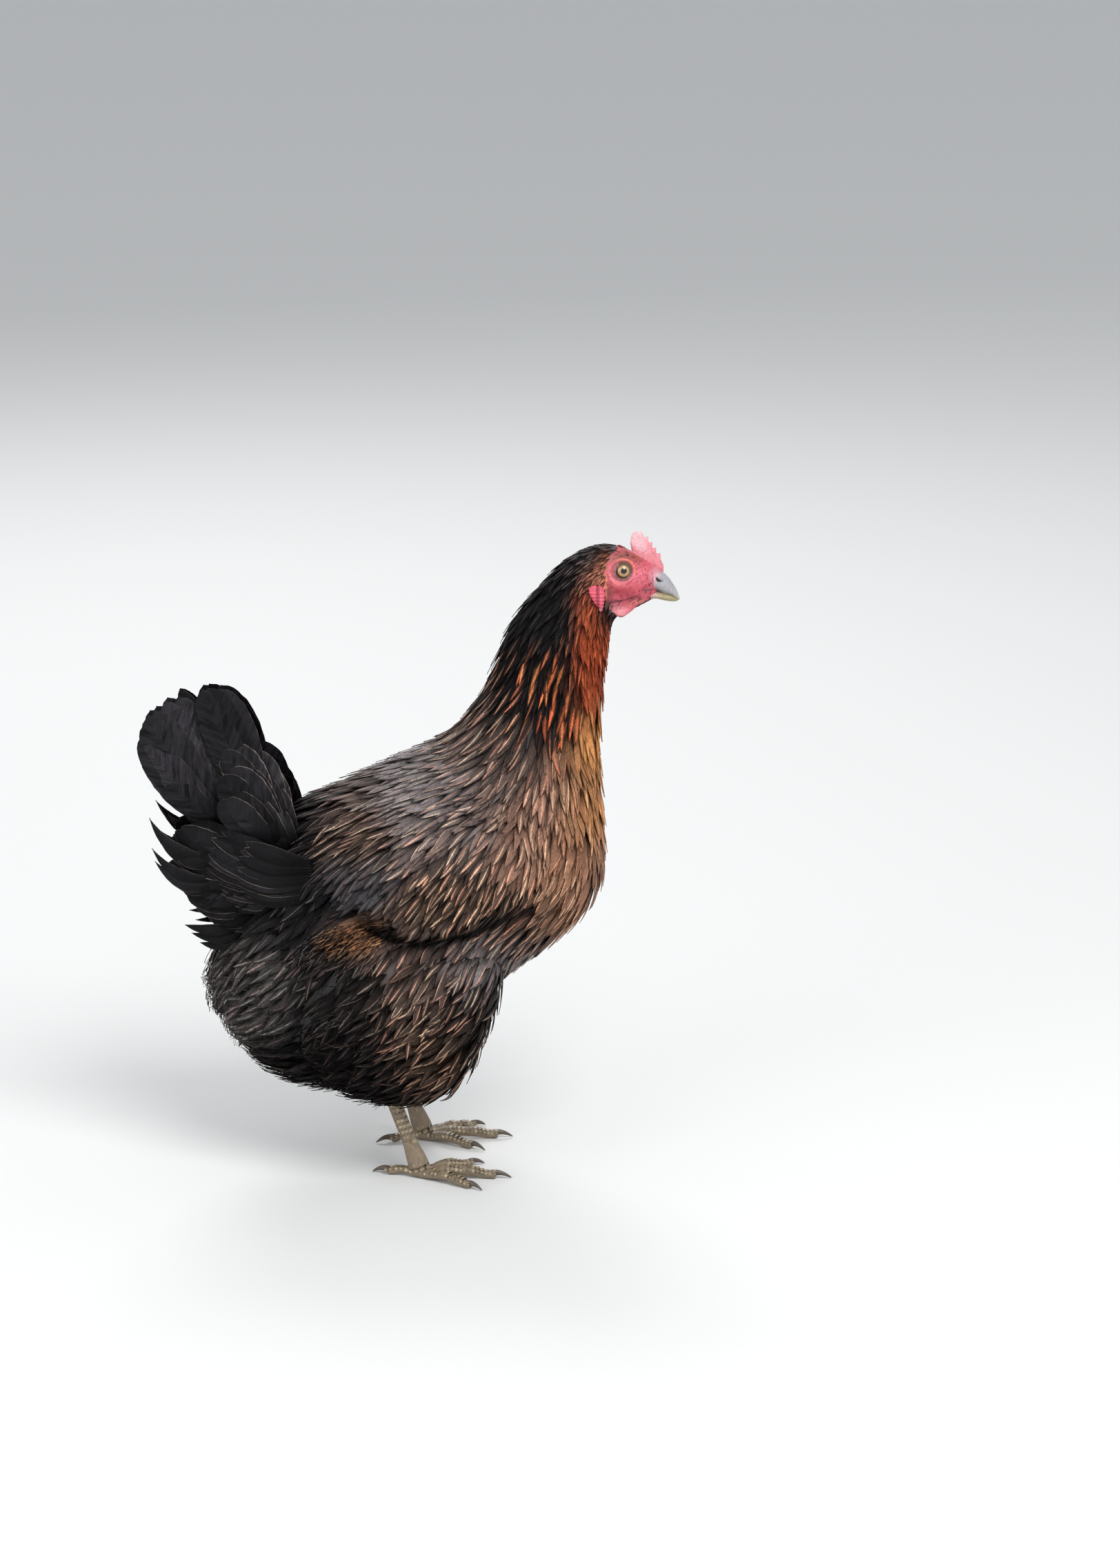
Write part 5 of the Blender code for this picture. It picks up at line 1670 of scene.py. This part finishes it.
@dataclass
class Leg:
    """Shank and toes of one side."""

    side: float
    hock: tuple[float, float, float] = (-0.022, 0.04, 0.086)
    ball: tuple[float, float, float] = (0.006, 0.04, 0.0088)
    # Toe: name, bearing, length, radius at root and tip, number of joints, claw's length.
    toes: tuple[tuple[str, float, float, float, float, int, float], ...] = (
        ("middle", 3, 0.055, 0.0046, 0.0032, 3, 0.013),
        ("inner", -30, 0.042, 0.0042, 0.003, 2, 0.012),
        ("outer", 33, 0.044, 0.0042, 0.003, 4, 0.011),
        ("back", 196, 0.023, 0.0036, 0.0028, 1, 0.011),
    )

    def shank_path(self, share: Array) -> tuple[Array, Array, Array]:
        """Middle line of the shank, and its half sizes front to back and across."""
        path = np.array(self.hock) * [1, self.side, 1] * (1 - share)[:, None]
        path = path + np.array(self.ball) * [1, self.side, 1] * share[:, None]
        swell = 1.16 - 0.3 * ease(share, 0, 0.35) + 0.42 * ease(share, 0.7, 1.0)
        return path, 0.0058 * swell, 0.0045 * swell

    def toe_path(self, toe: tuple, share: Array) -> tuple[Array, Array, Array]:
        """Middle line of a toe, and its half sizes up and across. It arches a little, and its
        pads swell between the joints."""
        _, bearing, long, first, last, joints, _ = toe
        turn = math.radians(bearing)
        way = np.array([math.cos(turn), self.side * math.sin(turn), 0.0])
        radius = first + (last - first) * share
        radius = radius * (1 + 0.1 * np.cos(share * joints * 2 * math.pi))
        ball = np.array(self.ball) * [1, self.side, 0]
        path = ball + way * (share * long)[:, None]
        path[:, 2] = radius * 0.92 + 0.0022 * np.sin(math.pi * share) ** 2
        return path, radius * 0.94, radius

    def shells(self) -> list[bpy.types.Object]:
        """Closed shells of shank and toes."""
        share = np.linspace(0, 1, 40)
        path, deep, wide = self.shank_path(share)
        made = [closed_loft("shank_shell", tube(path, deep, wide, np.array([1.0, 0, 0.3]), 28))]
        for toe in self.toes:
            path, high, wide = self.toe_path(toe, share)
            made.append(closed_loft("toe_shell", tube(path, high, wide, UP, 22)))
        return made

    def scutes(self) -> Feathers:
        """Scales: two rows of broad plates down the front of the shank, smaller ones on its
        sides, and one row along the top of each toe."""
        spines, normals, halves = [], [], []

        def add(where: Array, way: Array, out: Array, half: float, long: float) -> None:
            """Keeps one scale, which rises a little towards its tip."""
            share = stations(5)
            lift = 0.1 * MM + 0.35 * MM * share
            spines.append(where + way * (share * long)[:, None] + out * lift[:, None])
            normals.append(np.repeat(out[None], 5, axis=0))
            halves.append(outline(share, np.array([0.0]), 0.5)[0] * half)

        count = 19
        path, deep, wide = self.shank_path(np.linspace(0.02, 0.97, count))
        down = unit(path[-1] - path[0])
        front = unit(np.cross(down, np.cross(np.array([1.0, 0, 0.0]), down)))
        across = np.cross(down, front)
        for k in range(count):
            for turn, half, long in ((-0.42, 2.7, 4.6), (0.42, 2.7, 4.6), (-1.25, 2.0, 3.8),
                                     (1.25, 2.0, 3.8), (-2.1, 1.9, 3.6), (2.1, 1.9, 3.6),
                                     (2.9, 1.9, 3.6), (-2.9, 1.9, 3.6)):
                cos, sin = math.cos(turn), math.sin(turn)
                out = unit(front * cos / deep[k] + across * sin / wide[k])
                reach = 1 / math.sqrt((cos / deep[k]) ** 2 + (sin / wide[k]) ** 2)
                place = front * cos + across * sin
                slip = down * (0.0 if turn < 0 else 0.0018)
                add(path[k] + place * (reach - 0.1 * MM) + slip, down, out, half * MM, long * MM)
        for toe in self.toes:
            count = int(toe[2] / 0.0033)
            path, high, wide = self.toe_path(toe, np.linspace(0.1, 0.93, count))
            way = unit(path[-1] - path[0])
            lateral = unit(np.cross(way, UP))
            for k in range(count):
                for lean, half in ((0.0, 0.8), (1.15, 0.42), (-1.15, 0.42)):
                    cos, sin = math.cos(lean), math.sin(lean)
                    out = UP * cos + lateral * sin
                    place = UP * cos * high[k] + lateral * sin * wide[k]
                    add(path[k] + place - out * 0.1 * MM, way, out, wide[k] * half, 0.0044)
        n = len(spines)
        random = np.random.default_rng(5)
        tone = Tint.SCUTE_HORN.over(spines) * (0.75 + 0.45 * random.random((n, 1)))
        place = np.stack([np.linspace(0.05, 0.95, n), np.full(n, 0.5 + 0.2 * self.side)], axis=1)
        return Feathers(np.array(spines), np.array(normals), np.array(halves), place, tone,
                        tone * 0.45, np.full(n, 0.35), random.random(n), np.zeros(n), np.zeros(n))

    def claws(self) -> list[bpy.types.Object]:
        """Claws: cones along a falling arc, from the toe's end to the ground."""
        made = []
        for toe in self.toes:
            path = self.toe_path(toe, np.array([0.9, 0.94]))[0]
            way = unit((path[1] - path[0]) * [1, 1, 0])
            share = np.linspace(0, 1, 16)
            line = path[0] + way * (share * (toe[6] + 0.0035))[:, None]
            fall = path[0][2] - 0.0009
            line[:, 2] = path[0][2] + 0.0018 * np.sin(share * math.pi) - fall * share**1.8
            radius = 0.0024 * (1 - share) ** 0.75 + 0.00025
            made.append(closed_loft("claw", tube(line, radius * 1.1, radius * 0.85, UP, 14)))
        return made


@dataclass
class Bill:
    """Upper and lower halves of the bill, with stations as the body has them."""

    upper: tuple[tuple[float, ...], ...] = (
        (0.166, 0.4345, 0.166, 0.422, 0.0078, 2.0),
        (0.1705, 0.4352, 0.17, 0.421, 0.0078, 1.9),
        (0.1755, 0.4347, 0.174, 0.4195, 0.0073, 1.8),
        (0.179, 0.433, 0.177, 0.4184, 0.0064, 1.8),
        (0.1825, 0.4296, 0.1802, 0.4178, 0.0055, 1.8),
        (0.1857, 0.4248, 0.1836, 0.4172, 0.0045, 1.9),
        (0.1881, 0.4206, 0.1866, 0.4158, 0.0033, 2.0),
        (0.1896, 0.4168, 0.1888, 0.4144, 0.0018, 2.0),
        (0.1903, 0.4148, 0.1899, 0.4136, 0.0007, 2.0),
    )
    lower: tuple[tuple[float, ...], ...] = (
        (0.1655, 0.4222, 0.1655, 0.415, 0.007, 2.0),
        (0.174, 0.4205, 0.1742, 0.4146, 0.0062, 2.0),
        (0.1795, 0.419, 0.1798, 0.4133, 0.005, 2.0),
        (0.1845, 0.4176, 0.1846, 0.4126, 0.0036, 2.0),
        (0.1878, 0.4158, 0.188, 0.4128, 0.002, 2.0),
        (0.1893, 0.4146, 0.1893, 0.4136, 0.0007, 2.0),
    )

    def build(self) -> list[bpy.types.Object]:
        """Both halves, with nostrils sunk in the upper one and growth lines on both."""
        made = []
        for name, rows in (("bill_upper", self.upper), ("bill_lower", self.lower)):
            obj = closed_loft(name, section_grid(catmull(rows, 110), 84))
            points, normal = vertices_of(obj.data)
            x, y, z = points.T
            dx, dz, flank = x - 0.1752, z - 0.429, ease(np.abs(y), 0.002, 0.0035)
            u, v = (dx * 0.8 - dz * 0.6) / MM, (dx * 0.6 + dz * 0.8) / MM
            hole = bell(u, 0, 2.2) * bell(v - 0.1 * u**2, 0, 0.75) * flank
            flap = bell(u, 0, 2.2) * bell(v, 1.5, 0.8) * flank
            move = (0.35 * flap - 1.5 * hole) * (name == "bill_upper")
            move = move + 0.05 * np.sin((x * 0.8 - z * 0.6) * 5200 + 2 * grain(points, 3 * MM))
            points += normal * (move * MM)[:, None]
            obj.data.vertices.foreach_set("co", points.astype(np.float32).ravel())
            obj.data.update()
            paint(obj.data, "ground", self.tint(points, hole, name))
            made.append(obj)
        return made

    @staticmethod
    def tint(points: Array, hole: Array, name: str) -> Array:
        """Blue-grey horn above, paler at the edge and pinker at its root, with the nostril painted
        near-black as shade in its hollow; tan below.
        """
        x, _, z = points.T
        if name == "bill_upper":
            colour = Tint.BLUE_HORN.over(points)
            edge = z - np.interp(x, [0.166, 0.174, 0.18, 0.187, 0.19],
                                 [0.422, 0.4195, 0.4178, 0.4157, 0.414])
            layers = ((1 - ease(x + 0.45 * (0.436 - z), 0.1745, 0.1785), (0.64, 0.3, 0.34)),
                      (0.92 * bell(x, 0.175, 0.0034) * bell(edge, 0.0018, 0.002),
                       (0.06, 0.052, 0.042)),
                      (0.8 * bell(edge, 0.0, 0.0011) * ease(x, 0.1775, 0.181),
                       (0.5, 0.43, 0.27)),
                      (0.6 * ease(x, 0.185, 0.19), (0.42, 0.39, 0.35)),
                      # The nostril's hollow, painted near-black as shade.
                      (hole * 2.5, (0.006, 0.004, 0.005)))
        else:
            colour = Tint.TAN_HORN.over(points)
            layers = ((bell(x, 0.167, 0.007), (0.48, 0.26, 0.26)),
                      (0.6 * ease(x, 0.186, 0.19), (0.2, 0.17, 0.14)))
        return laid_over(colour, *layers) * (0.82 + 0.36 * grain(points, 0.9 * MM))[:, None]


def build_eye(name: str, side: float) -> bpy.types.Object:
    """An eyeball: rings round the gaze from its front pole to its back one, with the cornea
    raised by 0.35 mm, the pupil, a streaked iris and a dark rim."""
    gaze = unit(np.array([0.1, side, 0.13]))
    across = unit(np.cross(gaze, UP))
    up = np.cross(across, gaze)
    angle = np.linspace(0.02, math.pi - 0.02, 120) ** 1.25 / (math.pi - 0.02) ** 0.25
    turn = round_turn(96)
    radius = EYE_RADIUS + 0.35 * MM * bell(angle, 0, 0.42)
    ring = (radius * np.sin(angle))[:, None, None]
    middle = np.array(EYE) * [1, side, 1]
    grid = (middle + gaze * (radius * np.cos(angle))[:, None, None]
            + across * ring * np.cos(turn)[:, None] + up * ring * np.sin(turn)[:, None])
    obj = closed_loft(name, grid)
    points, _ = vertices_of(obj.data)
    local = points - middle
    r = np.linalg.norm(local - gaze * (local @ gaze)[:, None], axis=1) / MM
    r = np.where(local @ gaze < 0, 9.0, r)
    phi = np.arctan2(local @ up, local @ across)
    streak = 0.5 + 0.5 * np.sin(phi * 46 + 3 * np.sin(phi * 7)) * np.sin(phi * 17 + r)
    colour = laid_over(Tint.IRIS.over(points) * (0.72 + 0.4 * streak)[:, None],
                       (0.7 * bell(r, 2.4, 0.5), (0.5, 0.29, 0.11)),
                       (0.9 * ease(r, 3.7, 4.3), (0.06, 0.026, 0.016)),
                       (1 - ease(r, 2.0, 2.3), (0.0015, 0.0012, 0.0012)))
    paint(obj.data, "ground", colour)
    return obj


# Stage -------------------------


@dataclass
class Stage:
    """Camera, floor and lights."""

    target: tuple[float, float, float] = (0.1066, 0.0, 0.2803)
    distance: float = 3.0
    elevation: float = 15.0
    frame_height: float = 1.109
    sensor: float = 36.0
    floor_radius: float = 15.0

    def camera(self) -> None:
        """A camera level with the hen's side, a little above it, that looks at the target."""
        data = bpy.data.cameras.new("camera")
        data.sensor_width = self.sensor
        data.lens = self.sensor * self.distance / self.frame_height
        data.clip_start, data.clip_end = 0.05, 50.0
        obj = bpy.data.objects.new("camera", data)
        bpy.context.scene.collection.objects.link(obj)
        rise = math.radians(self.elevation)
        obj.location = (self.target[0], self.target[1] - self.distance * math.cos(rise),
                        self.target[2] + self.distance * math.sin(rise))
        obj.rotation_euler = (math.pi / 2 - rise, 0.0, 0.0)
        bpy.context.scene.camera = obj

    def floor(self) -> None:
        """A wide pale round floor: one ring of points and a fan of faces."""
        turn = round_turn(96)
        points = np.stack([np.cos(turn), np.sin(turn), 0 * turn], axis=1) * self.floor_radius
        points = np.vstack([points, [[0, 0, 0]]])
        k = np.arange(96)
        obj = mesh_of("floor", points, [np.stack([k, (k + 1) % 96, np.full(96, 96)], axis=1)])
        paper = {"Base Color": (0.72, 0.72, 0.71, 1.0), "Roughness": 0.9}
        obj.data.materials.append(new_material("pale_paper", paper)[0])

    def lights(self) -> None:
        """Soft light from the sky, with large lamps above the front, the camera and behind."""
        world = bpy.data.worlds.new("studio")
        bpy.context.scene.world = world
        world.use_nodes = True
        back = world.node_tree.nodes["Background"]
        back.inputs["Color"].default_value = (0.93, 0.96, 1.0, 1.0)
        back.inputs["Strength"].default_value = 0.62
        for name, place, size, watts in (
            ("key", (0.9, -1.7, 2.3), 1.6, 62.0),
            ("fill", (-1.8, -1.9, 1.2), 2.0, 20.0),
            ("rim", (-0.5, 2.2, 2.2), 1.6, 34.0),
        ):
            data = bpy.data.lights.new(name, "AREA")
            data.shape, data.size, data.energy = "DISK", size, watts
            obj = bpy.data.objects.new(name, data)
            bpy.context.scene.collection.objects.link(obj)
            obj.location = place
            aim = np.array(self.target) * [0.3, 1, 0.9] - place
            obj.rotation_euler = (math.acos(aim[2] / -np.linalg.norm(aim)), 0,
                                  math.atan2(aim[1], aim[0]) - math.pi / 2)
        bpy.context.scene.view_settings.view_transform = "Standard"


# Making ------------------------


def finish_piece(obj: bpy.types.Object, material: bpy.types.Material, slot: str,
                 *nodes: str) -> bpy.types.Object:
    """Dresses a piece, rides it on the one body, hides the imported parts that it stands for,
    and logs its triangles.
    """
    obj.data.materials.clear()
    obj.data.materials.append(material)
    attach(obj, "root")
    if nodes:
        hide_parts(*nodes)
    obj.data.calc_loop_triangles()
    LOG.info("%s: %d triangles", obj.name, len(obj.data.loop_triangles))
    return obj


def bristles(pelt: Pelt) -> Feathers:
    """Short hair-like feathers, thinly spread over the bare face but not on the lids or comb."""
    s, t = pelt.scatter(np.full((pelt.rows, pelt.around), 1.5 * MM))
    root = pelt.read(pelt.skin, s, t)
    r, _ = Head.eye_place(root)
    keep = (Body.bare(root) > 0.5) & (r > 7.6) & (root[:, 0] < 0.173)
    keep &= ~((root[:, 0] > 0.153) & (np.abs(root[:, 1]) < 0.006) & (root[:, 2] > 0.437))
    keep &= pelt.random.random(len(root)) < 0.32
    s, t, root = s[keep], t[keep], root[keep]
    n, rows = len(s), 5
    long = (1.3 + 1.6 * pelt.random.random(n)) * MM
    spine, normal, _ = pelt.trace(s, t, long, pelt.random.normal(0, 0.3, n), rows - 1)
    share = np.linspace(0, 1, rows)
    spine = spine + normal * (0.25 * MM + 0.45 * MM * share)[:, None]
    half = np.repeat([0.085 * MM * (1 - share) ** 0.5 + 0.02 * MM], n, axis=0)
    dark = np.array(Tint.SOOT.value) + np.array([[0.3, 0.045, 0.03]]) * pelt.random.random((n, 1))
    return Feathers(spine, normal, half, pelt.unwrap(s, t), dark, dark, np.full(n, 0.02),
                    pelt.random.random(n), np.zeros(n), np.zeros(n))


def build_coat(body: Body, thighs: list[Thigh], cushion: Cushion) -> None:
    """Grows the coat of every pelt and splits it into pieces."""
    pattern = vane_group()
    close = FeatherFinish("laced_feathers", 0.5, 0.07).material(pattern)
    fluff = FeatherFinish("soft_feathers", 0.65, 0.04).material(pattern)
    quill = FeatherFinish("tail_feathers", 0.4, 0.07).material(pattern)
    scale = FeatherFinish("scutes", 0.42, 0.5).material(pattern)
    vane = Vane()
    around = (*[t.pelt for t in thighs], cushion.pelt)
    grown = Coat(body.pelt, around).grow()
    root = grown.spine[:, 0]
    # The neck's coat ends at a line that falls forward across the shoulder.
    neck = root[:, 2] - 0.31 + (root[:, 0] - 0.09) * 0.9 > 0
    for side, word in SIDES:
        half = np.sign(root[:, 1]) == side
        finish_piece(vane.build("coat_neck_" + word, grown.pick(neck & half)), close, "hackle")
        finish_piece(vane.build("coat_body_" + word, grown.pick(~neck & half)), close,
                     "laced_plumage")
    finish_piece(vane.build("face_bristles", bristles(body.pelt)), close, "hackle")
    plumes = [Coat(body.pelt, around, stray=0.3, plume=0.5, rows=7).grow()]
    under = [Coat(body.pelt, around, rows=6, height=0.7).grow()]
    for (side, word), thigh in zip(SIDES, thighs):
        coat = Coat(thigh.pelt, (body.pelt,), stray=0.16).grow()
        finish_piece(vane.build("coat_thigh_" + word, coat), fluff, "fluff")
        under.append(Coat(thigh.pelt, (body.pelt,), rows=6, height=0.7).grow())
        plumes.append(Coat(thigh.pelt, (body.pelt,), stray=0.3, plume=0.5, rows=7).grow())
    finish_piece(vane.build("coat_plumes", join(plumes)), fluff, "fluff")
    finish_piece(vane.build("undercoat", join(under)), fluff, "fluff")
    coat = Coat(cushion.pelt, (body.pelt,), cover=4.0, rows=8, stray=0.2).grow()
    finish_piece(vane.build("coat_tail_root", coat), fluff, "tail_quills")
    blade = Vane(columns=8, arch=0.1, thick=0.3 * MM)
    plate = Vane(arch=0.3, thick=0.18 * MM)
    for side, word in SIDES:
        finish_piece(blade.build("tail_blades_" + word, Tail(side, 41).grow()), quill,
                     "tail_quills", "tail_" + word)
        finish_piece(plate.build("leg_scales_" + word, Leg(side).scutes()), scale, "leg_scales")


def skin_tint(points: Array) -> Array:
    """Colours of the whole skin: bare parts in their own, legs as horn, the rest as the coat,
    with the painted shade of the wing's crease.
    """
    bare = np.maximum(Body.bare(points), Head.earlobe_share(points))[:, None]
    leg = (1 - ease(points[:, 2], 0.06, 0.07))[:, None]
    horn = Tint.LEG_HORN.over(points) * (0.8 + 0.4 * grain(points, 2 * MM))[:, None]
    # The coat's colour with the painted shade in the crease along the wing's lower edge.
    coat = PLUMAGE.tint(points, "ground") * PLUMAGE.shade(points)[:, None]
    return (coat * (1 - leg) + horn * leg) * (1 - bare) + Head.tint(points) * bare


def build_skin(body: Body, thighs: list[Thigh], cushion: Cushion) -> None:
    """One skin under the whole coat, with the bare head and legs."""
    parts = [closed_loft("body_shell", body.inner())]
    parts += [closed_loft("thigh_shell", t.pelt.skin) for t in thighs]
    parts.append(closed_loft("cushion_shell", cushion.pelt.skin))
    skin = remeshed(merge("skin", parts), BODY_VOXEL)
    legs = [shell for side, _ in SIDES for shell in Leg(side).shells()]
    legs = remeshed(merge("legs", legs), LEG_VOXEL)
    skin = united(skin, legs)
    head = Head(body).build()
    LOG.info("head %d, body and legs %d faces", len(head.data.polygons), len(skin.data.polygons))
    skin = united(skin, head)
    points, _ = vertices_of(skin.data)
    paint(skin.data, "ground", skin_tint(points))
    skin.data.shade_smooth()
    flesh = [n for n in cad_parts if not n.startswith(("eye", "beak", "claw", "tail_left",
                                                            "tail_right"))]
    finish_piece(skin, Finish("skin", 0.48, glow=0.12, grain_depth=0.35).material(), "face_skin",
                 *flesh)


def build_hard_parts() -> None:
    """Bill, eyes and claws."""
    horn = Finish("bill_horn", 0.34, grain_size=0.5, grain_depth=0.12).material()
    for obj in Bill().build():
        finish_piece(obj, horn, "beak", obj.name.replace("bill", "beak"))
    wet = Finish("eyes", 0.25, gloss=0.7).material()
    nail = Finish("claw_horn", 0.36).material()
    for side, word in SIDES:
        finish_piece(build_eye("eyeball_" + word, side), wet, "eyes", "eye_" + word)
        claws = merge("claws_" + word, Leg(side).claws())
        points, _ = vertices_of(claws.data)
        paint(claws.data, "ground", Tint.CLAW_HORN.over(points)
              * (0.7 + 0.6 * grain(points, 2 * MM))[:, None])
        finish_piece(claws, nail, "claws", *[f"claw_{toe[0]}_{word}" for toe in Leg(side).toes])


def main() -> None:
    """Builds the hen piece by piece."""
    logging.basicConfig(level=logging.INFO, format="%(name)s %(message)s")
    stage = Stage()
    stage.camera()
    stage.floor()
    stage.lights()
    body = Body()
    thighs = [Thigh(side, 21 + k) for k, (side, _) in enumerate(SIDES)]
    cushion = Cushion()
    build_skin(body, thighs, cushion)
    build_hard_parts()
    build_coat(body, thighs, cushion)


if __name__ == "__main__":
    main()
